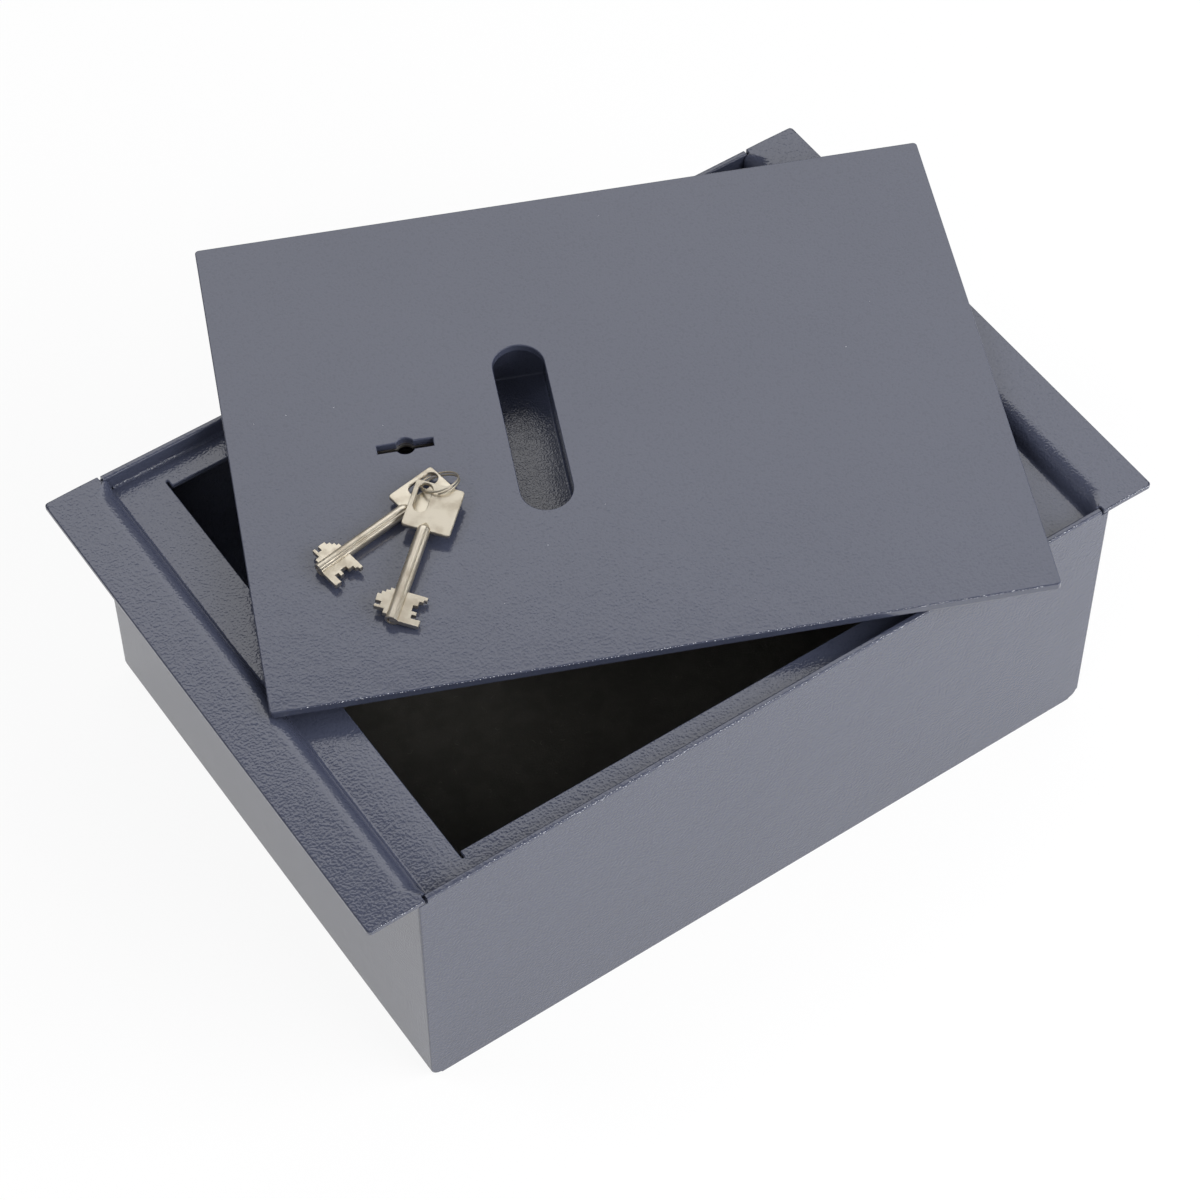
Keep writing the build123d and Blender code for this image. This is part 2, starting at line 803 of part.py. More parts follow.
def lid_frame():
    """The lid's frame as it lies on three points of the box.

    It rests on its front corner over the left flange, on the back tongue over the right
    flange and on the front stiffener bar where that crosses the front rim.
    """
    turn = math.radians(lid_turn)
    bar_x = (-wall_inside - lid_y + bar_edge * math.cos(turn)) / math.sin(turn)
    corner = Vector(-lid_length / 2, -lid_depth / 2, 0)
    tongue = Vector(tongue_step, tongue_off - tongue_width / 2, tongue_drop + tongue_sheet)
    rim = Vector(bar_x, -bar_edge, bar_thick)
    normal = (tongue - corner).cross(rim - corner)
    rise_x = -normal.X / normal.Z
    rise_y = -normal.Y / normal.Z
    height = body_height + rest_gap - rise_x * corner.X - rise_y * corner.Y
    tilted_x = Vector(1, 0, rise_x)
    tilted_z = Vector(-rise_x, -rise_y, 1)
    flat = Plane(origin=(0, 0, 0), x_dir=tilted_x, z_dir=tilted_z)
    return Location((lid_x, lid_y, height), (0, 0, lid_turn)) * flat.location


def save(piece, name):
    """Write one sub-part."""
    export_step(piece, f"parts/{name}.step")


def main():
    """Make every piece where it lies and write it."""
    on_lid = lid_frame()
    in_lock = on_lid * Pos(key_x, key_y, 0)

    save(base_pan(), "base_pan")
    save(side_wall(-1), "front_wall")
    save(side_wall(1), "back_wall")
    save(seat_frame(), "seat_frame")
    save(ledge_welds(), "ledge_welds")
    save(flange_welds(), "flange_welds")
    save(corner_welds(), "corner_welds")
    save(floor_mat(), "floor_mat")

    save(on_lid * lid_plate(), "lid_plate")
    save(on_lid * handle_pocket(), "handle_pocket")
    save(on_lid * stiffener_bar(-1), "front_stiffener_bar")
    save(on_lid * stiffener_bar(1), "back_stiffener_bar")
    save(on_lid * lid_tongue(-1), "front_lid_tongue")
    save(on_lid * lid_tongue(1), "back_lid_tongue")

    save(in_lock * hard_plate(), "hard_plate")
    save(in_lock * keyhole_washer(), "keyhole_washer")
    save(in_lock * lock_case(), "lock_case")
    save(in_lock * lock_cover(), "lock_cover")
    save(in_lock * key_post(), "key_post")
    save(in_lock * lever_pin(), "lever_pin")
    save(in_lock * guide_pin(), "guide_pin")
    save(in_lock * lock_studs(), "lock_studs")
    save(in_lock * lock_nuts(), "lock_nuts")
    save(in_lock * cover_screws(), "cover_screws")
    save(in_lock * lock_bolt(), "lock_bolt")
    for number in range(lever_count):
        save(in_lock * lever(number), f"lever_{number + 1}")
    save(in_lock * lever_springs(), "lever_springs")

    under = place_key(under_key_x, under_key_y, under_key_rise, under_key_turn, under_key_roll)
    upper = place_key(upper_key_x, upper_key_y, upper_key_rise, upper_key_turn, upper_key_roll)
    save(on_lid * under * key(), "under_key")
    save(on_lid * upper * key(), "upper_key")
    save(on_lid * key_ring(), "key_ring")
    print(f"key ring: least gap between its turns {ring_gap():.2f} mm")


main()
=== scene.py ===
"""Floor safe with its lid lifted askew and two keys lying on the lid.

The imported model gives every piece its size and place. This script dresses it: powder coat on
the box and lid, rippled welds, a felt mat with lint, pipe keys with coined edges, a round wire
ring and the metals of the lock, in a plain pale studio.
"""

import logging
import math
import random
from dataclasses import dataclass
from enum import Enum
from typing import Any, Callable, Iterable, Optional, Sequence, Union

import bmesh
import bpy
from mathutils import Euler, Matrix, Vector, noise


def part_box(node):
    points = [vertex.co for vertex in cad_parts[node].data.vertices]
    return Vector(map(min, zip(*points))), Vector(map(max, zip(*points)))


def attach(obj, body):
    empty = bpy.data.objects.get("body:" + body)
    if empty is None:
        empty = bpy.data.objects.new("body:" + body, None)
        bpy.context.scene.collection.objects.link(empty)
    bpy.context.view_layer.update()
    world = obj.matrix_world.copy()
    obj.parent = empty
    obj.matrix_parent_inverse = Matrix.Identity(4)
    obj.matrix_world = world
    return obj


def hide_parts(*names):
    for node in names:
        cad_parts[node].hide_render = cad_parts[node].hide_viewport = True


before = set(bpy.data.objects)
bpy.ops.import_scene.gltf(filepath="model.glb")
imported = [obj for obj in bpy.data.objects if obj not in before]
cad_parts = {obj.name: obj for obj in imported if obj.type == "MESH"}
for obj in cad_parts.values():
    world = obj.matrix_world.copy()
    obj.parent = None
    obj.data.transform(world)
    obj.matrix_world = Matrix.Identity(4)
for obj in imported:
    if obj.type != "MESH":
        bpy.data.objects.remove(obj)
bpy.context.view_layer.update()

MM = 0.001
LOG = logging.getLogger("floor_safe")

Colour = tuple[float, float, float]
Point = tuple[float, float, float]
Flat = tuple[float, float]
Mesh = bpy.types.Mesh
Build = bmesh.types.BMesh
Vertex = bmesh.types.BMVert
Material = bpy.types.Material
Piece = bpy.types.Object


# Shader maths


class Wire:
    """A node socket on which an expression adds Math nodes."""

    def __init__(self, bench: "Bench", socket: bpy.types.NodeSocket) -> None:
        """Wrap a socket of a bench."""
        self.bench = bench
        self.socket = socket

    def _join(self, operation: str, first: "Feed", second: "Feed") -> "Wire":
        """The node that joins two feeds, Vector Math where this wire is a vector.

        Args:
            operation: Name of the maths operation.
            first: Its first input.
            second: Its second input.

        Returns:
            A wire on the result.
        """
        vector = self.socket.type == "VECTOR"
        kind = "ShaderNodeVectorMath" if vector else "ShaderNodeMath"
        return self.bench.node(kind, {"operation": operation}, {0: first, 1: second})

    def __add__(self, other: "Feed") -> "Wire":
        """This wire plus a value or a wire."""
        return self._join("ADD", self, other)

    def __radd__(self, other: "Feed") -> "Wire":
        """A value plus this wire."""
        return self._join("ADD", other, self)

    def __mul__(self, other: "Feed") -> "Wire":
        """This wire times a value or a wire."""
        return self._join("MULTIPLY", self, other)

    def __rmul__(self, other: "Feed") -> "Wire":
        """A value times this wire."""
        return self._join("MULTIPLY", other, self)


Feed = Union[Wire, float, int, Sequence[float]]
Feeds = dict[Union[int, str], Feed]


class Bench:
    """The node tree of one material or world while it is being built."""

    def __init__(self, tree: bpy.types.NodeTree) -> None:
        """Work on a node tree."""
        self.tree = tree

    def node(self, kind: str, settings: Optional[dict[str, Any]] = None,
             feeds: Optional[Feeds] = None, out: Union[int, str] = 0) -> Wire:
        """Add one node.

        Args:
            kind: The node's type name.
            settings: Its settings, such as an operation.
            feeds: Values or wires for its sockets.
            out: The output that is wanted.

        Returns:
            A wire on that output.
        """
        made = self.tree.nodes.new(kind)
        for name, value in (settings or {}).items():
            setattr(made, name, value)
        self.supply(made, feeds or {})
        return Wire(self, made.outputs[out])

    def feed(self, socket: bpy.types.NodeSocket, value: Feed) -> None:
        """Link a wire to a socket, or set the socket's own value.

        Args:
            socket: The socket.
            value: The wire or the value.
        """
        if isinstance(value, Wire):
            self.tree.links.new(value.socket, socket)
        elif socket.type == "RGBA":
            socket.default_value = (*value, 1.0)
        elif socket.type == "VECTOR" and isinstance(value, (int, float)):
            socket.default_value = (value, value, value)
        else:
            socket.default_value = value

    def supply(self, node: bpy.types.Node, feeds: Feeds) -> None:
        """Feed several sockets of a node."""
        for name, value in feeds.items():
            self.feed(node.inputs[name], value)

    def mix(self, share: Feed, first: Feed, second: Feed) -> Wire:
        """A colour between two colours."""
        return self.node("ShaderNodeMix", {"data_type": "RGBA"}, {0: share, 6: first, 7: second}, 2)

    def band(self, value: Feed, low: float, high: float, to_low: float, to_high: float) -> Wire:
        """A value carried from one range to another with soft ends."""
        return self.node("ShaderNodeMapRange", {"interpolation_type": "SMOOTHSTEP"},
                         {0: value, 1: low, 2: high, 3: to_low, 4: to_high})

    def place(self) -> Wire:
        """The point's place on the object, in metres."""
        return self.node("ShaderNodeTexCoord", out="Object")

    def ray(self, kind: str) -> Wire:
        """1 where a ray of this kind meets the surface, else 0."""
        return self.node("ShaderNodeLightPath", out=f"Is {kind} Ray")

    def cloud(self, place: Feed, cell: float, detail: float, rough: float = 0.5,
              twist: float = 0.0) -> Wire:
        """Noise with cells of about so many metres."""
        feeds = {"Vector": place, "Scale": 1.0 / cell, "Detail": detail,
                 "Roughness": rough, "Distortion": twist}
        return self.node("ShaderNodeTexNoise", {}, feeds)

    def bump(self, height: Wire, distance: float, under: Optional[Wire] = None) -> Wire:
        """A surface normal from a height.

        Args:
            height: The height, from 0 to 1.
            distance: What 1 stands for, in metres.
            under: A normal that this one is laid over.

        Returns:
            The normal.
        """
        feeds: Feeds = {"Height": height, "Distance": distance}
        if under is not None:
            feeds["Normal"] = under
        return self.node("ShaderNodeBump", {}, feeds)


def new_material(name: str) -> tuple[Material, Bench, bpy.types.Node]:
    """An empty material.

    Args:
        name: Its name.

    Returns:
        The material, its bench and its surface shader.
    """
    material = bpy.data.materials.new(name)
    material.use_nodes = True
    return material, Bench(material.node_tree), material.node_tree.nodes["Principled BSDF"]


def srgb(red: int, green: int, blue: int) -> Colour:
    """A colour as it is read on a screen, turned into the light that it stands for.

    Args:
        red: Red, 0 to 255.
        green: Green, 0 to 255.
        blue: Blue, 0 to 255.

    Returns:
        The colour in linear light.
    """

    def light(level: int) -> float:
        """The light that one channel stands for."""
        share = level / 255
        return share / 12.92 if share <= 0.04045 else ((share + 0.055) / 1.055) ** 2.4

    return light(red), light(green), light(blue)


# Finishes


@dataclass(frozen=True)
class Finish:
    """A finish with a name. Each kind of finish says how its surface is fed."""

    name: str

    def material(self) -> Material:
        """Build the material.

        Returns:
            The material.
        """
        material, bench, shader = new_material(self.name)
        bench.supply(shader, self.surface(bench, bench.place()))
        return material

    def surface(self, bench: Bench, place: Wire) -> Feeds:
        """Feeds of the surface shader's sockets, from the point's place on the object.

        Args:
            bench: The node tree that gets the nodes.
            place: The point's place on the object.

        Returns:
            The feeds, by the socket's name.
        """
        raise NotImplementedError


class Grain(Enum):
    """How the powder coat flowed: height of its wrinkles in millimetres, and their gloss."""

    OPEN = (0.034, 0.080)
    FINE = (0.0135, 0.090)
    DEEP = (0.042, 0.100)
    WELD = (0.045, 0.12)


@dataclass(frozen=True)
class PowderCoat(Finish):
    """Blue-grey powder coat, wrinkled like fine leather, with a satin shine."""

    grain: Grain = Grain.OPEN
    colour: Colour = srgb(60, 64, 80)
    # Darker colour painted into the wrinkle pits as shade.
    pit_shade_colour: Colour = srgb(52, 56, 72)
    drift_colour: Colour = srgb(74, 77, 92)
    cell: float = 1.1 * MM
    wave_cell: float = 14 * MM
    wave_height: float = 0.10 * MM
    fleck_cell: float = 0.35 * MM
    fleck_height: float = 0.012 * MM
    drift_cell: float = 90 * MM

    def surface(self, bench: Bench, place: Wire) -> Feeds:
        """A coat with wrinkles, wide waves and fine flecks, a little paler in wide drifts, with
        painted shade in the wrinkle pits.

        Args:
            bench: The node tree that gets the nodes.
            place: The point's place on the object.

        Returns:
            The feeds, by the socket's name.
        """
        height, gloss = self.grain.value
        wrinkle = bench.cloud(place, self.cell, 0.8, 0.4, 0.25)
        wave = bench.cloud(place, self.wave_cell, 1.0)
        fleck = bench.cloud(place, self.fleck_cell, 1.0)
        drift = bench.cloud(place, self.drift_cell, 2.0)
        # Painted shade: the coat is drawn darker in the low pits of the wrinkles.
        shaded_pit = bench.band(wrinkle, 0.28, 0.48, 1.0, 0.0)
        tone = bench.mix(shaded_pit * 0.55, self.colour, self.pit_shade_colour)
        tone = bench.mix(bench.band(drift, 0.3, 0.7, 0.0, 0.12), tone, self.drift_colour)
        normal = bench.bump(wave, self.wave_height)
        normal = bench.bump(bench.band(wrinkle, 0.25, 0.75, 0.0, 1.0), height * MM * 2, normal)
        normal = bench.bump(fleck, self.fleck_height, normal)
        rough = gloss + 0.05 * shaded_pit + 0.03 * fleck
        return {"Base Color": tone, "Roughness": rough, "Normal": normal,
                "Specular IOR Level": 0.95}


@dataclass(frozen=True)
class Metal(Finish):
    """Bare or plated metal with fine handling marks.

    The marks are longest along the axis given by stretch, as from rolling or brushing.
    """

    colour: Colour
    dull_colour: Colour
    roughness: float
    marks: float = 0.02
    stretch: Point = (1.0, 6.0, 6.0)
    cell: float = 2.5 * MM
    stain_cell: float = 7 * MM
    dent_cell: float = 0.8 * MM

    def surface(self, bench: Bench, place: Wire) -> Feeds:
        """Metal with lines, small dents and dull stains.

        Args:
            bench: The node tree that gets the nodes.
            place: The point's place on the object.

        Returns:
            The feeds, by the socket's name.
        """
        lines = bench.cloud(place * self.stretch, self.cell, 3.0, 0.6)
        stain = bench.cloud(place, self.stain_cell, 3.0, 0.55)
        dent = bench.cloud(place, self.dent_cell, 2.0)
        dull = bench.band(stain, 0.42, 0.72, 0.0, 1.0)
        tone = bench.mix(dull, self.colour, self.dull_colour)
        rough = self.roughness + 0.12 * dull + 0.06 * lines
        normal = bench.bump(dent, self.marks * MM, bench.bump(lines, self.marks * MM))
        return {"Base Color": tone, "Roughness": rough, "Normal": normal, "Metallic": 1.0}


@dataclass(frozen=True)
class Felt(Finish):
    """Black pressed felt: matt, fuzzy, with short fibres in every direction."""

    name: str = "black_felt"
    colour: Colour = srgb(88, 86, 81)
    light_fibre: Colour = srgb(124, 121, 114)
    dark_clump: Colour = srgb(71, 69, 65)
    nap_cell: float = 0.9 * MM
    nap_height: float = 0.5 * MM
    clump_cell: float = 9 * MM

    def surface(self, bench: Bench, place: Wire) -> Feeds:
        """Felt with a raised nap, lighter fibres and darker clumps.

        Args:
            bench: The node tree that gets the nodes.
            place: The point's place on the object.

        Returns:
            The feeds, by the socket's name.
        """
        nap = bench.cloud(place, self.nap_cell, 5.0, 0.7, 1.2)
        clump = bench.cloud(place, self.clump_cell, 2.0)
        light = bench.band(nap, 0.55, 0.80, 0.0, 0.8)
        tone = bench.mix(light, self.colour, self.light_fibre)
        tone = bench.mix(bench.band(clump, 0.35, 0.65, 0.0, 0.35), tone, self.dark_clump)
        rough = bench.band(nap, 0.3, 0.7, 1.0, 0.88)
        normal = bench.bump(nap, self.nap_height)
        return {"Base Color": tone, "Roughness": rough, "Normal": normal,
                "Specular IOR Level": 0.15}


@dataclass(frozen=True)
class Lint(Finish):
    """Loose pale lint on the felt."""

    name: str = "lint"
    dark: Colour = srgb(58, 56, 52)
    light: Colour = srgb(112, 108, 100)
    cell: float = 4 * MM

    def surface(self, bench: Bench, place: Wire) -> Feeds:
        """Matt lint, from dark to light.

        Args:
            bench: The node tree that gets the nodes.
            place: The point's place on the object.

        Returns:
            The feeds, by the socket's name.
        """
        shade = bench.cloud(place, self.cell, 1.0)
        tone = bench.mix(bench.band(shade, 0.3, 0.7, 0.0, 1.0), self.dark, self.light)
        return {"Base Color": tone, "Roughness": 0.9}


# Mesh helpers


def even_shading(piece: Piece) -> None:
    """Let large flat faces rule the shading, so that they stay flat up to their rounded edges.

    Args:
        piece: The piece that gets it.
    """
    even = piece.modifiers.new("even", "WEIGHTED_NORMAL")
    even.mode = "FACE_AREA"
    even.weight = 100
    even.keep_sharp = True


def add_object(name: str, mesh: Mesh, material: Material,
               place: Optional[Matrix] = None) -> Piece:
    """Put a mesh in the scene, at the origin or at a place, as one piece with one material.

    Args:
        name: Name of the piece.
        mesh: Its mesh.
        material: Its finish.
        place: Where it goes, if not at the origin.

    Returns:
        The piece.
    """
    piece = bpy.data.objects.new(name, mesh)
    bpy.context.scene.collection.objects.link(piece)
    if place is not None:
        piece.matrix_world = place
    mesh.materials.clear()
    mesh.materials.append(material)
    return piece


def settle(piece: Piece, body: str, slot: str, *nodes: str) -> None:
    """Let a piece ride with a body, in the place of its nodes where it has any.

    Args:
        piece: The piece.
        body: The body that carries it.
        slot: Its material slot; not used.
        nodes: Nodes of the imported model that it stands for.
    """
    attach(piece, body)
    if nodes:
        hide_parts(*nodes)
    LOG.info("made %s", piece.name)


def smooth(mesh: Mesh, angle: float) -> None:
    """Shade a mesh smooth, but keep the edges sharper than an angle in degrees."""
    mesh.polygons.foreach_set("use_smooth", [True] * len(mesh.polygons))
    mesh.set_sharp_from_angle(angle=math.radians(angle))


def mesh_of(name: str, build: Build, angle: Optional[float] = None) -> Mesh:
    """Turn a worked mesh into mesh data, its normals outwards, smooth if an angle is given.

    Args:
        name: Name of the mesh.
        build: The worked mesh, which is used up.
        angle: Edges sharper than this many degrees stay sharp.

    Returns:
        The mesh.
    """
    bmesh.ops.recalc_face_normals(build, faces=build.faces[:])
    mesh = bpy.data.meshes.new(name)
    build.to_mesh(mesh)
    build.free()
    if angle is not None:
        smooth(mesh, angle)
    return mesh


def applied(piece: Piece) -> Mesh:
    """The mesh that an object shows, with its modifiers or curve settings worked out.

    Args:
        piece: The object.

    Returns:
        The mesh.
    """
    bpy.context.view_layer.update()
    shown = piece.evaluated_get(bpy.context.evaluated_depsgraph_get())
    return bpy.data.meshes.new_from_object(shown)


def skin(build: Build, rings: Sequence[Sequence[Vertex]]) -> None:
    """Join rings of points with faces and cap the ends. A ring of one point is a tip.

    Args:
        build: The mesh that gets the faces.
        rings: The rings in order.
    """
    for first, second in zip(rings, rings[1:]):
        for step, vertex in enumerate(second):
            after = (step + 1) % len(second)
            if len(first) == 1:
                build.faces.new((first[0], vertex, second[after]))
            else:
                build.faces.new((first[step], first[after], second[after], vertex))
    for end in (rings[0], rings[-1]):
        if len(end) > 1:
            build.faces.new(end)


def tube(build: Build, path: Sequence[Vector], radii: Sequence[float],
         sides: int) -> None:
    """Add a capped tube along points.

    Args:
        build: The mesh that gets it.
        path: The points.
        radii: Its radius at each point.
        sides: Sides of its section.
    """
    rings = []
    across = None
    for index, point in enumerate(path):
        ahead = path[min(index + 1, len(path) - 1)] - path[max(index - 1, 0)]
        ahead.normalize()
        if across is None:
            across = ahead.orthogonal()
        across = (across - ahead * across.dot(ahead)).normalized()
        side = ahead.cross(across)
        ring = []
        for step in range(sides):
            turn = 2 * math.pi * step / sides
            out = across * math.cos(turn) + side * math.sin(turn)
            ring.append(build.verts.new(point + out * radii[index]))
        rings.append(ring)
    skin(build, rings)


def sheet_outline(name: str, loops: Sequence[Sequence[Flat]], thick: float,
                  ease: float) -> Mesh:
    """A plate cut to an outline, with rounded edges.

    Args:
        name: Name of the mesh.
        loops: The outline and its holes, in metres.
        thick: Thickness of the plate.
        ease: Radius of its edges.

    Returns:
        The mesh, its middle plane at Z = 0.
    """
    curve = bpy.data.curves.new(name, "CURVE")
    curve.dimensions = "2D"
    curve.fill_mode = "BOTH"
    curve.extrude = thick / 2 - ease
    curve.bevel_depth = ease
    curve.bevel_resolution = 3
    curve.offset = -ease
    for loop in loops:
        spline = curve.splines.new("POLY")
        spline.points.add(len(loop) - 1)
        for point, (x, y) in zip(spline.points, loop):
            point.co = (x, y, 0.0, 1.0)
        spline.use_cyclic_u = True
    maker = bpy.data.objects.new(name, curve)
    bpy.context.scene.collection.objects.link(maker)
    mesh = applied(maker)
    bpy.data.objects.remove(maker)
    bpy.data.curves.remove(curve)
    build = bmesh.new()
    build.from_mesh(mesh)
    bmesh.ops.remove_doubles(build, verts=build.verts[:], dist=1e-6)
    bmesh.ops.recalc_face_normals(build, faces=build.faces[:])
    build.to_mesh(mesh)
    build.free()
    return mesh


def arc(centre: Flat, radius: float, start: float, end: float,
        steps: int) -> list[Flat]:
    """Points of a flat arc, angles in degrees.

    Args:
        centre: Middle of the arc.
        radius: Its radius.
        start: Angle of its start.
        end: Angle of its end.
        steps: Number of chords.

    Returns:
        The points.
    """
    points = []
    for step in range(steps + 1):
        turn = math.radians(start + (end - start) * step / steps)
        points.append((centre[0] + radius * math.cos(turn), centre[1] + radius * math.sin(turn)))
    return points


def rounded_rectangle(middle: Flat, length: float, width: float,
                      corner: float) -> list[Flat]:
    """Outline of a rectangle with rounded corners.

    Args:
        middle: Its middle.
        length: Its size along X.
        width: Its size along Y.
        corner: Radius of its corners.

    Returns:
        The outline.
    """
    loop: list[Flat] = []
    for quarter, (sx, sy) in enumerate(((1, 1), (-1, 1), (-1, -1), (1, -1))):
        centre = (middle[0] + sx * (length / 2 - corner), middle[1] + sy * (width / 2 - corner))
        loop += arc(centre, corner, 90 * quarter, 90 * quarter + 90, 8)
    return loop


def obround(centre: Flat, length: float, width: float, start: float, steps: int) -> list[Flat]:
    """Outline of a slot with round ends, its first end's arc from an angle in degrees.

    Args:
        centre: Middle of the slot.
        length: Its length over the round ends.
        width: Its width.
        start: Where the first arc starts.
        steps: Chords of each end.

    Returns:
        The outline.
    """
    reach, turn = (length - width) / 2, math.radians(start + 90)
    x, y = reach * math.cos(turn), reach * math.sin(turn)
    loop = arc((centre[0] + x, centre[1] + y), width / 2, start, start + 180, steps)
    return loop + arc((centre[0] - x, centre[1] - y), width / 2, start + 180, start + 360, steps)


def drawn_in(x: float, y: float, half_x: float, half_y: float,
             corner: float) -> Flat:
    """A point of a rectangle about the origin, drawn in to its rounded corners.

    Args:
        x: The point's X.
        y: The point's Y.
        half_x: Half of the length.
        half_y: Half of the width.
        corner: Radius of the corners.

    Returns:
        The point's new place.
    """
    dx, dy = abs(x) - (half_x - corner), abs(y) - (half_y - corner)
    if dx <= 0 or dy <= 0:
        return x, y
    share = max(dx, dy) / math.hypot(dx, dy)
    return (math.copysign(half_x - corner + dx * share, x),
            math.copysign(half_y - corner + dy * share, y))


def cell_sheet(name: str, rows: int, columns: int,
               corner: Callable[[int, int], tuple[Point, Point]],
               kept: Callable[[int, int], bool] = lambda row, column: True) -> Mesh:
    """A closed sheet made of grid cells, with a wall wherever a cell has no neighbour.

    Args:
        name: Name of the mesh.
        rows: Cells along Y.
        columns: Cells along X.
        corner: Gives the upper and the lower point at a crossing of the grid.
        kept: Tells whether the sheet covers a cell. Without it every cell is covered.

    Returns:
        The mesh.
    """
    build = bmesh.new()
    made: dict[tuple[int, int], tuple[Vertex, Vertex]] = {}

    def pair(row: int, column: int) -> tuple[Vertex, Vertex]:
        """The two vertices at a crossing, made when first needed."""
        if (row, column) not in made:
            upper, lower = corner(row, column)
            made[row, column] = (build.verts.new(upper), build.verts.new(lower))
        return made[row, column]

    def covered(row: int, column: int) -> bool:
        """Whether there is sheet at a cell, on the grid or beside it."""
        return 0 <= row < rows and 0 <= column < columns and kept(row, column)

    for row in range(rows):
        for column in range(columns):
            if not kept(row, column):
                continue
            cell = [pair(row, column), pair(row, column + 1),
                    pair(row + 1, column + 1), pair(row + 1, column)]
            build.faces.new([upper for upper, _ in cell])
            build.faces.new([lower for _, lower in reversed(cell)])
            beside = ((row - 1, column), (row, column + 1), (row + 1, column), (row, column - 1))
            for step, near in enumerate(beside):
                if not covered(*near):
                    first, second = cell[step], cell[(step + 1) % 4]
                    build.faces.new((first[0], first[1], second[1], second[0]))
    return mesh_of(name, build, 60)


def union(name: str, meshes: Sequence[Mesh]) -> Mesh:
    """One closed mesh from several that cross each other.

    Args:
        name: Name of the mesh.
        meshes: The meshes that are joined.

    Returns:
        The mesh.
    """
    pieces = [bpy.data.objects.new(name, mesh) for mesh in meshes]
    for piece in pieces:
        bpy.context.scene.collection.objects.link(piece)
    for other in pieces[1:]:
        join = pieces[0].modifiers.new("join", "BOOLEAN")
        join.operation = "UNION"
        join.solver = "EXACT"
        join.object = other
    mesh = applied(pieces[0])
    for piece in pieces:
        bpy.data.objects.remove(piece)
    return mesh


def ease_edges(piece: Piece, width: float, angle: float = 40.0) -> None:
    """Round the sharp edges of a sheet or block a little, as paint and tumbling leave them.

    Args:
        piece: The piece.
        width: Width of the rounding.
        angle: Edges sharper than this many degrees are rounded.
    """
    weld = piece.modifiers.new("weld", "WELD")
    weld.merge_threshold = 0.002 * MM
    bevel = piece.modifiers.new("ease", "BEVEL")
    bevel.width = width
    bevel.segments = 3
    bevel.limit_method = "ANGLE"
    bevel.angle_limit = math.radians(angle)
    bevel.use_clamp_overlap = False
    bevel.miter_outer = "MITER_ARC"
    even_shading(piece)


def dress(nodes: Iterable[str], material: Material, width: float = 0.0) -> None:
    """Give carried-over pieces a finish and, where a width is given, eased edges.

    Args:
        nodes: Names of the pieces.
        material: Their finish.
        width: Width of the rounding of their edges.
    """
    for name in nodes:
        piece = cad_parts[name]
        piece.data.materials.clear()
        piece.data.materials.append(material)
        if width > 0:
            ease_edges(piece, width)
        LOG.info("dressed %s", name)


def lid_place() -> Matrix:
    """The lid's frame in the model: middle of its underside, along, across and up.

    Returns:
        The frame.
    """
    along = Vector((0.915564, -0.401905, 0.014648))
    across = Vector((0.401408, 0.915463, 0.028258))
    up = along.cross(across)
    place = Matrix((along, across, up)).transposed().to_4x4()
    place.translation = Vector((26.2, 27.8, 143.1286)) * MM
    return place


# Box and mat


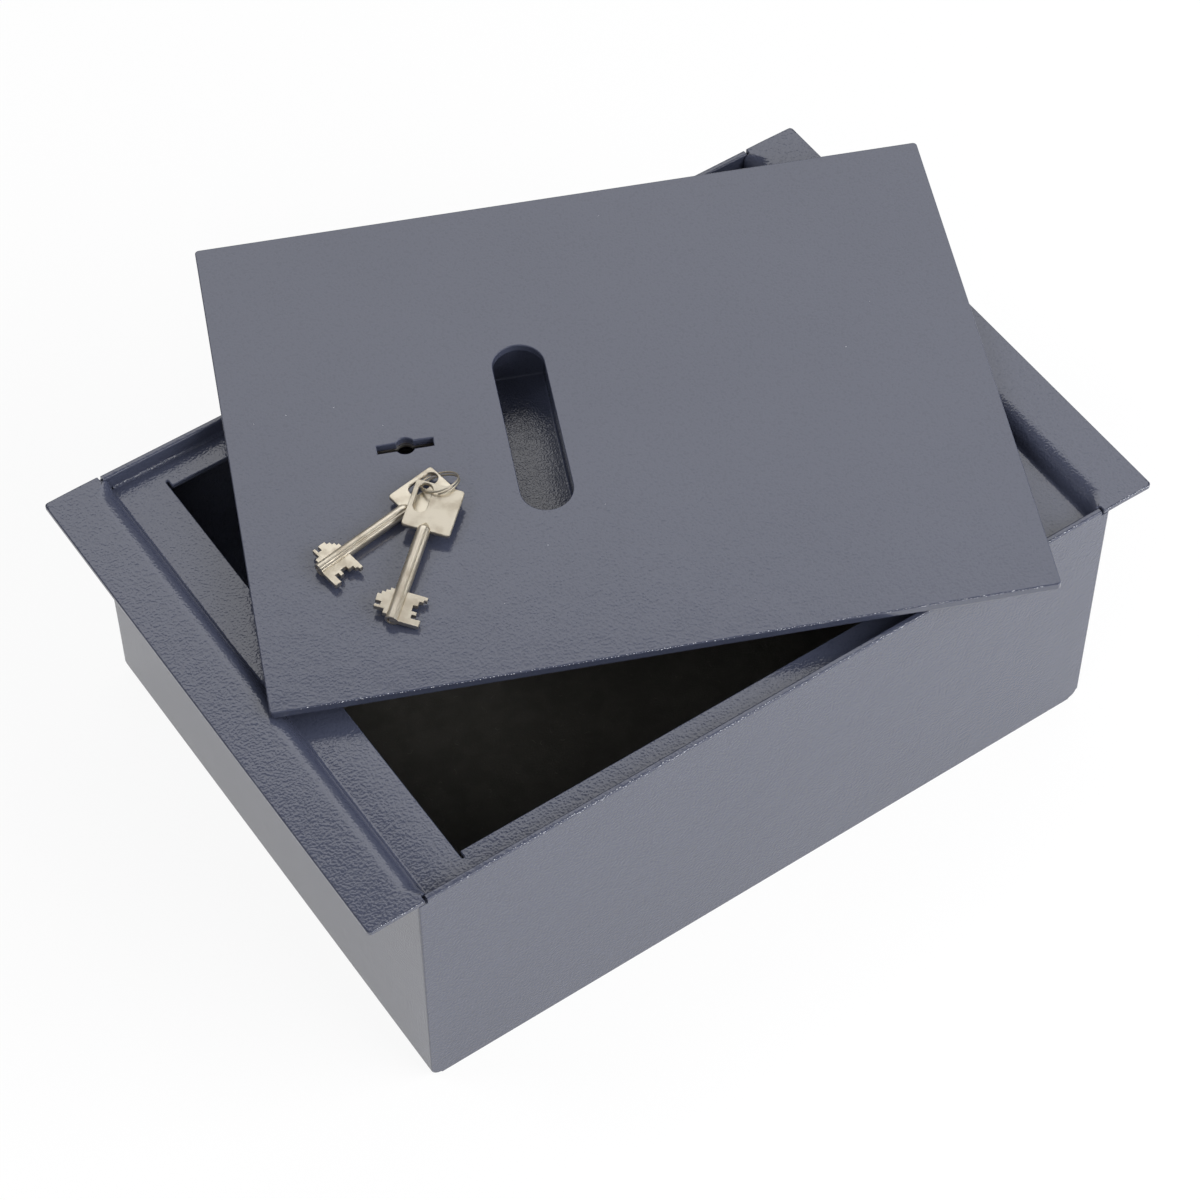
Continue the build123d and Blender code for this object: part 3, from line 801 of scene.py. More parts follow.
@dataclass
class SafeBox:
    """The painted steel box with its flanges, and the welds along its rims."""

    sheet: float = 3.0 * MM
    bend: float = 5.0 * MM
    rim_half: float = 170.5 * MM
    rim_step: float = 2.6 * MM
    round_edge: float = 1.0 * MM
    ripple: float = 1.7 * MM
    bead_leg: float = 1.5 * MM
    bead_sides: int = 10
    bead_fill: float = 0.62
    coat: PowderCoat = PowderCoat("blue_grey_coat")
    weld_coat: PowderCoat = PowderCoat("coated_weld", Grain.WELD)

    def build(self) -> None:
        """Dress the sheets and lay the weld beads."""
        coat = self.coat.material()
        dress(("base_pan",), coat)
        for side, name in ((-1, "front_wall"), (1, "back_wall")):
            self.add(f"{name}_sheet", self.wall(side), coat, name)
        SeatSheet().build(coat)
        weld = self.weld_coat.material()
        dress(("flange_welds", "corner_welds"), weld)
        beads = [self.bead(side) for side in (-1, 1)]
        for side, mesh in zip(("front", "back"), beads):
            self.add(f"{side}_rim_weld", mesh, weld, "ledge_welds")

    @staticmethod
    def add(name: str, mesh: Mesh, material: Material, node: str) -> None:
        """Put one painted piece of the box in the place of its node.

        Args:
            name: Name of the piece.
            mesh: Its mesh.
            material: Its finish.
            node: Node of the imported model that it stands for.
        """
        piece = add_object(name, mesh, material)
        even_shading(piece)
        settle(piece, "box", "blue_grey_coat", node)

    def wall(self, side: int) -> Mesh:
        """The front (-1) or back (1) wall, its outer edges and its rim rounded.

        Args:
            side: Which wall.

        Returns:
            The mesh, closed, with sharp edges only where it meets the end walls.
        """
        low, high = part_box("front_wall")
        bend, shoulder, rim = self.bend, high.z - self.rim_step, self.rim_half
        outline = [(-rim, high.z), (-rim, shoulder), (low.x, shoulder)]
        outline += arc((low.x + bend, low.z + bend), bend, 180, 270, 8)
        outline += arc((high.x - bend, low.z + bend), bend, 270, 360, 8)
        outline += [(high.x, shoulder), (rim, shoulder), (rim, high.z)]
        face, inside = (low.y, low.y + self.sheet) if side < 0 else (-low.y, -low.y - self.sheet)
        build = bmesh.new()
        outer = [build.verts.new((x, face, z)) for x, z in outline]
        inner = [build.verts.new((x, inside, z)) for x, z in outline]
        build.faces.new(outer)
        build.faces.new(inner)
        for index, vertex in enumerate(outer):
            after = (index + 1) % len(outer)
            build.faces.new((vertex, outer[after], inner[after], inner[index]))
        soft = []
        for edge in build.edges:
            first, second = (end.co for end in edge.verts)
            if first.y != second.y:
                continue
            on_rim = min(first.z, second.z) > high.z - 1e-6
            low_down = first.z + second.z < 2 * shoulder - 1e-6
            if on_rim or (low_down and abs(first.y - face) < 1e-6):
                soft.append(edge)
        bmesh.ops.bevel(build, geom=soft, offset=self.round_edge, offset_type="OFFSET", segments=4,
                        profile=0.5, affect="EDGES")
        return mesh_of(f"wall_{side}", build, 40)

    def bead(self, side: int) -> Mesh:
        """A rippled weld bead along the foot of the front (-1) or back (1) rim.

        Args:
            side: Which rim.

        Returns:
            The mesh, closed.
        """
        low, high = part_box("ledge_welds")
        rng = random.Random(7 + side)
        build = bmesh.new()
        face = high.y if side > 0 else low.y
        count = round((high.x - low.x) / (self.ripple / 4))
        rings = []
        wander = rng.uniform(0, 10)
        for step in range(count + 1):
            x = low.x + (high.x - low.x) * step / count
            beat = 0.5 + 0.5 * math.cos(2 * math.pi * (x / self.ripple))
            drift = noise.noise(Vector((x * 160, wander, 0)))
            leg = self.bead_leg * (0.80 + 0.08 * beat + 0.10 * drift)
            fill = leg * (0.50 + 0.05 * beat) * self.bead_fill
            profile = [(0.0, 0.0)]
            for turn in range(self.bead_sides + 1):
                share = turn / self.bead_sides
                belly = 2 * fill * share * (1 - share)
                profile.append((leg * (1 - share) ** 2 + belly, leg * share**2 + belly))
            rings.append([build.verts.new((x, face - side * y, low.z + z)) for y, z in profile])
        skin(build, rings)
        return mesh_of(f"rim_weld_{side}", build, 50)


@dataclass
class SeatSheet:
    """Ledge round the opening, rolled up softly at both ends into the flanges.

    The roll is wide along the box and tightens to a small bend beside the rims.
    """

    tip: float = 198.0 * MM
    high: float = 137.0 * MM
    ledge: float = 129.0 * MM
    thick: float = 2.5 * MM
    foot_at: float = 166.8 * MM
    roll: float = 10.0 * MM
    foot: float = 2.0 * MM
    end_roll: float = 3.5 * MM
    end_foot: float = 1.5 * MM
    tighten: float = 7.0 * MM
    least_riser: float = 0.4 * MM
    side: float = 126.8 * MM
    reach: float = 130.0 * MM
    opening: Flat = (146.4 * MM, 113.6 * MM)
    nick: Flat = (1.2 * MM, 3.6 * MM)
    corner: float = 1.8 * MM
    ease: float = 0.5 * MM
    crown: float = 0.30 * MM
    crown_run: float = 60.0 * MM
    droop: float = 0.35 * MM
    flat_from: float = 182.0 * MM
    foot_steps: int = 5
    roll_steps: int = 12

    def build(self, material: Material) -> None:
        """Make the sheet as a grid of cells.

        Args:
            material: The coat.
        """
        depths = self.depths()
        rows = [self.row(y) for y in depths]
        columns = len(rows[0]) - 1
        strip = len(self.outer_stops())

        def kept(row: int, column: int) -> bool:
            """Whether the sheet covers this cell.

            Args:
                row: Row of the cell.
                column: Column of the cell.

            Returns:
                True where there is sheet.
            """
            y = abs(depths[row] + depths[row + 1]) / 2
            x = abs(rows[row][column][0] + rows[row][column + 1][0]) / 2
            half, deep = self.opening
            if x < half and y < deep:
                return False
            if half - self.nick[0] < x < half and y < deep + self.nick[1]:
                return False
            return y < self.side or min(column, columns - 1 - column) < strip

        def corner(row: int, column: int) -> tuple[Point, Point]:
            """Upper and lower point at a crossing of the grid.

            Args:
                row: Line of the grid along X.
                column: Line of the grid along Y.

            Returns:
                Both points.
            """
            x, z, lean = rows[row][column]
            out = math.copysign(self.thick * math.sin(lean), x)
            x, y = drawn_in(x, depths[row], self.tip, self.reach, self.corner)
            return (x, y, z), (x + out, y, z - self.thick * math.cos(lean))

        mesh = cell_sheet("seat_sheet", len(rows) - 1, columns, corner, kept)
        piece = add_object("seat_frame_sheet", mesh, material)
        ease_edges(piece, self.ease)
        settle(piece, "box", "blue_grey_coat", "seat_frame")

    def depths(self) -> list[float]:
        """The places along Y where the grid has a line.

        Returns:
            The places, from front to back.
        """
        deep = self.opening[1]
        half = [20 * MM, 40 * MM, 60 * MM, 80 * MM, 98 * MM, deep, deep + self.nick[1],
                self.side - self.tighten, 122.5 * MM, 125 * MM, self.side, 127.5 * MM]
        start = self.reach - self.corner
        half += [start + self.corner * step / 4 for step in range(5)]
        return [-y for y in reversed(half)] + [0.0] + half

    def outer_stops(self) -> list[float]:
        """Places along X on the flat of the flange."""
        start = self.tip - self.corner
        return [self.flat_from, 189 * MM] + [start + self.corner * step / 4 for step in range(5)]

    def row(self, y: float) -> list[Point]:
        """The top face across the box at one depth, as (x, z, slope) from left to right.

        Args:
            y: The depth.

        Returns:
            The points.
        """
        share = min(max((self.side - abs(y)) / self.tighten, 0.0), 1.0)
        foot = self.end_foot + (self.foot - self.end_foot) * share
        roll = self.end_roll + (self.roll - self.end_roll) * share
        rise = self.high - self.ledge
        turn = math.acos(max(0.0, 1 - (rise - self.least_riser) / (foot + roll)))
        riser = rise - (foot + roll) * (1 - math.cos(turn))
        top_at = self.foot_at + (foot + roll) * math.sin(turn) + riser / math.tan(turn)
        half = self.opening[0]
        stops = [25 * MM, 50 * MM, 75 * MM, 100 * MM, 125 * MM, half - self.nick[0], half]
        stops += [half + (self.foot_at - half) * step / 6 for step in range(1, 7)]
        points = [(x, self.ledge + self.swell(x, y), 0.0) for x in stops]
        for step in range(1, self.foot_steps + 1):
            lean = turn * step / self.foot_steps
            points.append((self.foot_at + foot * math.sin(lean),
                           self.ledge + foot * (1 - math.cos(lean)), lean))
        for step in range(self.roll_steps + 1):
            lean = turn * (1 - step / self.roll_steps)
            points.append((top_at - roll * math.sin(lean),
                           self.high - roll * (1 - math.cos(lean)), lean))
        points += [(x, self.high - self.dip_at(x), 0.0) for x in self.outer_stops()]
        return [(-x, z, lean) for x, z, lean in reversed(points)] + [
            (0.0, self.ledge, 0.0)] + points

    def dip_at(self, x: float) -> float:
        """How far the flange has drooped at a place along X."""
        return self.droop * max(0.0, (abs(x) - self.flat_from) / (self.tip - self.flat_from))

    def swell(self, x: float, y: float) -> float:
        """How far the end ledges arch up, most towards the front.

        Args:
            x: Place along the box.
            y: Place across the box.

        Returns:
            The height.
        """
        middle = (self.opening[0] + self.foot_at) / 2
        off = (x - middle) / (self.foot_at - middle)
        front = min(max(-y / self.crown_run, 0.0), 1.0)
        return self.crown * front * max(0.0, 1 - off * off)


@dataclass
class FloorMat:
    """Loose felt mat on the floor of the box, with lint on it."""

    length: float = 337.6 * MM
    depth: float = 247.6 * MM
    corner: float = 4.0 * MM
    cell: float = 2.2 * MM
    edge_round: float = 1.2 * MM
    sunk: float = 0.45 * MM
    swell_height: float = 0.30 * MM
    fuzz_height: float = 0.14 * MM
    fibres: int = 900
    fibre_inset: float = 6.0 * MM
    fibre_steps: int = 4
    fibre_length: Flat = (0.8, 3.6)
    fibre_radius: Flat = (0.05, 0.11)

    def build(self) -> None:
        """Lay the mat and scatter its lint."""
        low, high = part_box("floor_mat")
        mat = add_object("felt_mat", self.mat_mesh(low, high), Felt().material())
        settle(mat, "box", "black_felt", "floor_mat")
        lint = add_object("mat_lint", self.lint_mesh(low, high), Lint().material())
        settle(lint, "box", "black_felt")

    def top_at(self, x: float, y: float, high: float) -> float:
        """Height of the felt at a point: soft swells and a fine fuzz.

        Args:
            x: The point's X.
            y: The point's Y.
            high: Top of the mat.

        Returns:
            The height.
        """
        swell = noise.noise(Vector((x * 14, y * 14, 3.1)))
        fuzz = noise.noise(Vector((x * 320, y * 320, 8.7)))
        return high - self.sunk + self.swell_height * swell + self.fuzz_height * fuzz

    def mat_mesh(self, low: Vector, high: Vector) -> Mesh:
        """A closed slab with an uneven top and soft edges.

        Args:
            low: Low corner of the mat's box.
            high: Its high corner.

        Returns:
            The mesh.
        """
        columns, rows = round(self.length / self.cell), round(self.depth / self.cell)
        half_x, half_y, middle = high.x, high.y, (low.z + high.z) / 2

        def corner(row: int, column: int) -> tuple[Point, Point]:
            """Upper and lower point at a crossing of the grid.

            Args:
                row: Line of the grid along X.
                column: Line of the grid along Y.

            Returns:
                Both points.
            """
            x, y = drawn_in(half_x * (2 * column / columns - 1), half_y * (2 * row / rows - 1),
                            half_x, half_y, self.corner)
            inset = min(half_x - abs(x), half_y - abs(y)) / self.edge_round
            edge = math.sqrt(max(0.0, 1 - (1 - min(inset, 1.0)) ** 2))
            rise = (self.top_at(x, y, high.z) - middle) * (0.35 + 0.65 * edge)
            return (x, y, middle + rise), (x, y, low.z)

        return cell_sheet("felt_mat", rows, columns, corner)

    def lint_mesh(self, low: Vector, high: Vector) -> Mesh:
        """Short curled fibres that lie on the felt.

        Args:
            low: Low corner of the mat's box.
            high: Its high corner.

        Returns:
            The mesh.
        """
        rng = random.Random(23)
        build = bmesh.new()
        for _ in range(self.fibres):
            x = rng.uniform(low.x + self.fibre_inset, high.x - self.fibre_inset)
            y = rng.uniform(low.y + self.fibre_inset, high.y - self.fibre_inset)
            turn = rng.uniform(0, 2 * math.pi)
            curl = rng.uniform(-0.9, 0.9)
            length = rng.uniform(*self.fibre_length) * MM
            radius = rng.uniform(*self.fibre_radius) * MM
            path = []
            for _step in range(self.fibre_steps + 1):
                path.append(Vector((x, y, self.top_at(x, y, high.z) + radius)))
                x += math.cos(turn) * length / self.fibre_steps
                y += math.sin(turn) * length / self.fibre_steps
                turn += curl
            tube(build, path, [radius] * len(path), 4)
        return mesh_of("mat_lint", build, 80)


# Lid and lock


@dataclass
class LiftLid:
    """The painted lid plate with its pocket, bars and tongues."""

    length: float = 332.0 * MM
    depth: float = 253.0 * MM
    sheet: float = 4.0 * MM
    corner: float = 1.8 * MM
    ease: float = 0.55 * MM
    bar_ease: float = 0.6 * MM
    tongue_ease: float = 0.5 * MM
    slot_length: float = 91.0 * MM
    slot_width: float = 22.8 * MM
    slot_at: Flat = (-35.2 * MM, -1.3 * MM)
    keyhole_at: Flat = (-90.6 * MM, -1.2 * MM)
    keyhole_length: float = 24.4 * MM
    keyhole_width: float = 4.1 * MM
    keyhole_round: float = 8.6 * MM
    key_area: tuple[float, ...] = (-130 * MM, -60 * MM, -90 * MM, 10 * MM)
    coat: PowderCoat = PowderCoat("lid_coat", Grain.FINE)
    pocket_coat: PowderCoat = PowderCoat("pocket_coat", Grain.DEEP, cell=0.8 * MM)

    def plate(self) -> Mesh:
        """The lid plate with the handle slot and the keyhole, every edge a little rounded.

        Returns:
            The mesh, its underside at Z = 0.
        """
        outline = rounded_rectangle((0.0, 0.0), self.length, self.depth, self.corner)
        slot = obround(self.slot_at, self.slot_length, self.slot_width, 0, 36)
        mesh = sheet_outline("painted_lid", [outline, slot, self.keyhole()], self.sheet, self.ease)
        mesh.transform(Matrix.Translation(Vector((0, 0, self.sheet / 2))))
        smooth(mesh, 35)
        return mesh

    def busy(self, x: float, y: float) -> bool:
        """Whether a place on the lid lies in or near the slot, the keyhole or the keys.

        Args:
            x: Place along the lid.
            y: Place across the lid.

        Returns:
            True where nothing should be strewn.
        """
        slot_x, slot_y = self.slot_at
        near_slot = (abs(x - slot_x) < self.slot_width / 2 + self.corner
                     and abs(y - slot_y) < self.slot_length / 2 + self.corner)
        left, right, front, back = self.key_area
        return near_slot or (left < x < right and front < y < back)

    def keyhole(self) -> list[Flat]:
        """Outline of the keyhole: a slot with a round for the shank.

        Returns:
            The outline.
        """
        x, y = self.keyhole_at
        radius = self.keyhole_round / 2
        long, wide = self.keyhole_length / 2, self.keyhole_width / 2
        lift = math.degrees(math.asin(wide / radius))
        loop = [(x + long, y - wide), (x + long, y + wide)]
        loop += arc((x, y), radius, lift, 180 - lift, 16)
        loop += [(x - long, y + wide), (x - long, y - wide)]
        return loop + arc((x, y), radius, 180 + lift, 360 - lift, 16)

    def build(self) -> None:
        """Make the plate and dress the pieces under it."""
        coat = self.coat.material()
        plate = add_object("painted_lid", self.plate(), coat, lid_place())
        even_shading(plate)
        settle(plate, "lid", "blue_grey_coat", "lid_plate")
        dress(("handle_pocket",), self.pocket_coat.material())
        dress(("front_stiffener_bar", "back_stiffener_bar"), coat, self.bar_ease)
        dress(("front_lid_tongue", "back_lid_tongue"), coat, self.tongue_ease)


@dataclass
class LeverLock:
    """The lock under the lid, each piece in its own metal."""

    ease: float = 0.25 * MM
    blued: Metal = Metal("hardened_steel", srgb(96, 98, 108), srgb(62, 60, 66), 0.38)
    zinc: Metal = Metal("zinc_steel", srgb(196, 199, 198), srgb(150, 152, 150), 0.34)
    bright: Metal = Metal("bright_steel", srgb(190, 190, 190), srgb(140, 139, 136), 0.26)
    spring: Metal = Metal("spring_steel", srgb(132, 134, 142), srgb(90, 88, 92), 0.30)
    brass: Metal = Metal("lever_brass", srgb(212, 178, 104), srgb(150, 118, 62), 0.30)
    nickel: Metal = Metal("washer_nickel", srgb(236, 230, 218), srgb(206, 198, 184), 0.45)

    def build(self) -> None:
        """Dress the lock."""
        zinc = self.zinc.material()
        bright = self.bright.material()
        dress(("hard_plate",), self.blued.material(), self.ease)
        dress(("keyhole_washer",), self.nickel.material())
        dress(("lock_case", "lock_cover", "lock_nuts", "cover_screws"), zinc)
        dress(("key_post", "lever_pin", "guide_pin", "lock_studs"), bright)
        dress(("lock_bolt",), bright, self.ease)
        dress([f"lever_{number}" for number in range(1, 6)], self.brass.material())
        dress(("lever_springs",), self.spring.material())


# Keys


@dataclass(frozen=True)
class KeyPose:
    """How a key lies on the lid.

    The middle of its bow's hole, in millimetres from the keyhole, and how high it has risen
    there; the turn and the roll in degrees.
    """

    node: str
    body: str
    x: float
    y: float
    rise: float
    turn: float
    roll: float


@dataclass
class PipeKey:
    """Pipe key: hollow shank, a long and a short stepped wing, a square bow with coined edges."""

    pose: KeyPose
    shank: float = 6.0 * MM
    shank_length: float = 45.5 * MM
    bore: float = 3.6 * MM
    bore_deep: float = 17.0 * MM
    neck: float = 5.0 * MM
    bow_length: float = 23.5 * MM
    bow_width: float = 21.4 * MM
    bow_thick: float = 1.8 * MM
    bow_off: float = 0.6 * MM
    bow_corner: float = 1.5 * MM
    bow_ease: float = 0.42 * MM
    hole_length: float = 14.4 * MM
    hole_width: float = 6.0 * MM
    hole_in: float = 15.2 * MM
    hole_off: float = 4.9 * MM
    wing_thick: float = 2.5 * MM
    wing_ease: float = 0.12 * MM
    wing_root: float = 1.0 * MM
    mouth_ease: float = 0.3 * MM
    gap: float = 0.12 * MM
    groove_turn: float = 32.0
    groove_deep: float = 0.45 * MM
    groove_wide: float = 0.13
    sides: int = 72
    long_wing: tuple[Point, ...] = (
        (0, 3, 11.5), (3, 4.8, 7.2), (4.8, 6.4, 9), (6.4, 9.3, 6.6),
        (9.3, 11.6, 8.5), (11.6, 12.8, 10.2), (12.8, 14.5, 11.5))
    short_wing: tuple[Point, ...] = (
        (2, 4, 4.6), (4, 5.3, 9), (5.3, 7, 6.6), (7, 10.5, 9.2),
        (10.5, 12, 7.6), (12, 13.3, 6.1), (13.3, 14.5, 4.5))

    def build(self, material: Material) -> None:
        """Make the key and lay it on the lid.

        Args:
            material: The nickel.
        """
        name = self.pose.node
        parts = [self.bow(), self.wing(self.long_wing, -1), self.wing(self.short_wing, 1),
                 self.stem()]
        mesh = union(name, parts)
        smooth(mesh, 35)
        key = add_object(f"{name}_nickel", mesh, material, self.place())
        even_shading(key)
        settle(key, self.pose.body, "nickel", name)

    def place(self) -> Matrix:
        """Where the key's tip lies, with X along the key.

        Returns:
            The key's frame in the model.
        """
        reach = self.shank_length + self.hole_in
        lift = math.asin(self.pose.rise * MM / reach)
        keyhole_x, keyhole_y = LiftLid.keyhole_at
        height = LiftLid.sheet + self.gap + self.pose.rise * MM + self.shank / 2
        spot = Matrix.Translation(
            (keyhole_x + self.pose.x * MM, keyhole_y + self.pose.y * MM, height))
        spot = spot @ Matrix.Rotation(math.radians(self.pose.turn), 4, "Z")
        spot = spot @ Matrix.Rotation(-lift, 4, "Y")
        spot = spot @ Matrix.Rotation(math.radians(self.pose.roll), 4, "X")
        return lid_place() @ spot @ Matrix.Translation(Vector((-reach, 0, 0)))

    def bow(self) -> Mesh:
        """The square bow with its obround hole.

        Returns:
            The mesh.
        """
        middle = (self.shank_length + self.bow_length / 2, -self.bow_off)
        outline = rounded_rectangle(middle, self.bow_length, self.bow_width, self.bow_corner)
        hole = obround((self.shank_length + self.hole_in, self.hole_off), self.hole_length,
                       self.hole_width, -90, 20)
        return sheet_outline("bow", [outline, hole], self.bow_thick, self.bow_ease)

    def wing(self, steps: Sequence[Point], side: int) -> Mesh:
        """One stepped wing, its steps as (start, end, reach) in millimetres.

        Args:
            steps: The steps, from the tip on.
            side: Side of the shank, -1 or 1.

        Returns:
            The mesh.
        """
        root = -side * self.wing_root
        loop = [(steps[0][0] * MM, root)]
        for start, end, reach in steps:
            loop += [(start * MM, side * reach * MM), (end * MM, side * reach * MM)]
        loop.append((steps[-1][1] * MM, root))
        if side > 0:
            loop.reverse()
        return sheet_outline("wing", [loop], self.wing_thick, self.wing_ease)

    def stem(self) -> Mesh:
        """The hollow shank with its groove, and the neck that runs out into the bow.

        Returns:
            The mesh.
        """
        radius, bore, ease = self.shank / 2, self.bore / 2, self.mouth_ease
        outer = [(0.0, radius - ease), (0.09 * MM, radius - ease * 0.3), (ease, radius)]
        outer += [(self.shank_length * share, radius) for share in (0.2, 0.4, 0.6, 0.8, 0.97)]
        for step in range(1, 9):
            share = step / 8
            fall = 0.5 - 0.5 * math.cos(math.pi * share)
            outer.append((self.shank_length + self.neck * share,
                          radius + (self.bow_thick / 3 - radius) * fall))
        inner = [(self.bore_deep, 0.0), (self.bore_deep, bore * 0.98),
                 (self.bore_deep - ease, bore), (ease, bore), (0.0, bore + ease * 0.6)]
        groove = math.radians(90 + self.groove_turn)
        build = bmesh.new()
        rings = []
        for x, r in inner + outer:
            if r == 0.0:
                rings.append([build.verts.new((x, 0, 0))])
                continue
            ring = []
            for step in range(self.sides):
                turn = 2 * math.pi * step / self.sides
                apart = math.remainder(turn - groove, 2 * math.pi)
                left = r
                if r > radius * 0.9 and ease * 2 < x <= self.shank_length:
                    left -= self.groove_deep * math.exp(-((apart / self.groove_wide) ** 2))
                ring.append(build.verts.new((x, left * math.cos(turn), left * math.sin(turn))))
            rings.append(ring)
        skin(build, rings)
        return mesh_of("stem", build)


@dataclass
class SplitRing:
    """Split ring of nearly two turns of round wire, leaning on the lid."""

    place: Point = (-79.61 * MM, -28.55 * MM, 10.22 * MM)
    turn: float = 18.7
    lean: float = -30.6
    wire: float = 0.85 * MM
    mean: float = 16.44 * MM
    pitch: float = 1.33 * MM
    turns: float = 1.9
    start: float = 237.6
    steps: int = 220
    sides: int = 16

    def build(self, material: Material) -> None:
        """Wind the ring where it hangs through both bows.

        Args:
            material: The nickel.
        """
        path, radii = [], []
        for step in range(self.steps + 1):
            share = step / self.steps
            turn = math.radians(self.start + 360 * self.turns * share)
            path.append(Vector((self.mean / 2 * math.cos(turn), self.mean / 2 * math.sin(turn),
                                self.pitch * self.turns * (share - 0.5))))
            end = min(share, 1 - share) * self.turns * math.pi * self.mean
            radii.append(self.wire / 2 * min(1.0, 0.6 + end / (0.5 * self.wire) * 0.4))
        build = bmesh.new()
        tube(build, path, radii, self.sides)
        spot = Matrix.Translation(self.place) @ Matrix.Rotation(math.radians(self.turn), 4, "Z")
        spot = lid_place() @ spot @ Matrix.Rotation(math.radians(self.lean), 4, "X")
        ring = add_object("key_ring_wire", mesh_of("key_ring", build, 60), material, spot)
        settle(ring, "ring", "nickel", "key_ring")


@dataclass
class KeyBunch:
    """Both keys and their ring."""

    nickel: Metal = Metal("key_nickel", srgb(242, 233, 214), srgb(226, 215, 194), 0.34, 0.003,
                          (1.0, 3.0, 3.0), 1.6 * MM)
    keys: tuple[KeyPose, ...] = (
        KeyPose("under_key", "under_key_body", 6.546, -29.689, 1.102, 30.4, -0.65),
        KeyPose("upper_key", "upper_key_body", 6.827, -37.33, 3.97, 63.7, 6.6))

    def build(self) -> None:
        """Make the keys and the ring."""
        nickel = self.nickel.material()
        for pose in self.keys:
            PipeKey(pose).build(nickel)
        SplitRing().build(nickel)


# Painted glints


@dataclass
class PaintedGlints:
    """Light specks along the front edges and a few on the lid: painted glints, small pale bumps
    that stand in for sparkles of light.
    """

    radius: float = 0.15 * MM
    wall_round: float = 1.0 * MM
    flange_round: float = 0.5 * MM
    lid_round: float = 0.55 * MM
    strays: int = 14
    stray_reach: Flat = (155.0, 115.0)
    wall_share: float = 1.6
    flange_share: float = 2.2
    lid_share: float = 1.5
    wall_end: float = 169.0 * MM
    flange_ends: Flat = (173.0 * MM, 196.0 * MM)
    lid_end: float = 158.0 * MM
    # Near-white coat that paints the specks as glints of light.
    coat: PowderCoat = PowderCoat("painted_glint_coat", Grain.FINE, srgb(214, 216, 222),
                                  srgb(180, 182, 190))

    def build(self) -> None:
        """Strew the specks on the box and on the lid."""
        material = self.coat.material()
        rng = random.Random(41)
        on_box, on_lid = bmesh.new(), bmesh.new()
        seat, lid = SeatSheet(), LiftLid()
        front, high = -seat.reach, seat.high
        near, far = self.flange_ends
        self.strew(on_box, rng, (-self.wall_end, self.wall_end), front, high,
                   self.wall_round, self.wall_share)
        for ends in ((-far, -near), (near, far)):
            self.strew(on_box, rng, ends, front, high, self.flange_round, self.flange_share,
                       seat.dip_at)
        self.add("box_painted_glints", on_box, material, "box", Matrix())
        self.strew(on_lid, rng, (-self.lid_end, self.lid_end), -lid.depth / 2, lid.sheet,
                   self.lid_round, self.lid_share)
        for _ in range(self.strays):
            x, y = (rng.uniform(-reach, reach) * MM for reach in self.stray_reach)
            size, long = rng.uniform(0.5, 1.1) * self.radius, rng.uniform(0.3, 1.0)
            if not lid.busy(x, y):
                self.speck(on_lid, Vector((x, y, lid.sheet)), size, long)
        self.add("lid_painted_glints", on_lid, material, "lid", lid_place())

    def strew(self, build: Build, rng: random.Random, ends: Flat,
              front: float, high: float, curve: float, share: float,
              dip: Callable[[float], float] = lambda x: 0.0) -> None:
        """Put specks along an edge that runs in X.

        Args:
            build: The mesh that gets them.
            rng: Source of their places.
            ends: Where the run starts and ends.
            front: Y of the face in front of the edge.
            high: Z of the face above the edge.
            curve: Radius of the edge.
            share: How dense they are.
            dip: How far the edge has sunk at a place along X.
        """
        x = ends[0]
        while x < ends[1]:
            crowd = 0.5 + 0.5 * noise.noise(Vector((x * 45, high * 900, 2.3)))
            x += rng.uniform(0.5, 2.2) * MM / (share * (0.25 + 1.6 * crowd**2))
            turn = math.radians(rng.uniform(15, 75))
            size = self.radius * rng.uniform(0.45, 1.15)
            reach = curve - 0.4 * size
            spot = Vector((min(x, ends[1]), front + curve - reach * math.cos(turn),
                           high - dip(x) - curve + reach * math.sin(turn)))
            self.speck(build, spot, size, rng.uniform(0.6, 1.9))

    @staticmethod
    def speck(build: Build, spot: Vector, size: float, long: float) -> None:
        """One small bump drawn out along X.

        Args:
            build: The mesh that gets it.
            spot: Its middle.
            size: Its radius.
            long: How far it is drawn out, in radii.
        """
        half = Vector((size * (0.7 + long), 0, 0))
        tube(build, [spot - half, spot, spot + half], [size * 0.4, size, size * 0.4], 6)

    @staticmethod
    def add(name: str, build: Build, material: Material, body: str,
            place: Matrix) -> None:
        """Turn the bumps into one piece that rides with a body.

        Args:
            name: Name of the piece.
            build: The bumps.
            material: Their finish.
            body: The body that carries them.
            place: The frame that they were made in.
        """
        piece = add_object(name, mesh_of(name, build, 80), material, place)
        settle(piece, body, "blue_grey_coat")


# Studio


@dataclass(frozen=True)
class SoftBox:
    """A soft lamp that looks at the safe: place, width and height, watts."""

    name: str
    place: Point
    size: Flat
    power: float
    mirrored: bool = True

    def build(self) -> None:
        """Hang the lamp. It shows in glossy surfaces only if it is mirrored."""
        data = bpy.data.lights.new(self.name, "AREA")
        data.shape = "RECTANGLE"
        data.size, data.size_y = self.size
        data.energy = self.power
        lamp = bpy.data.objects.new(self.name, data)
        lamp.visible_glossy = self.mirrored
        lamp.location = self.place
        aim = Vector((0.0, 0.0, 0.1)) - Vector(self.place)
        lamp.rotation_euler = aim.to_track_quat("-Z", "Y").to_euler()
        bpy.context.scene.collection.objects.link(lamp)


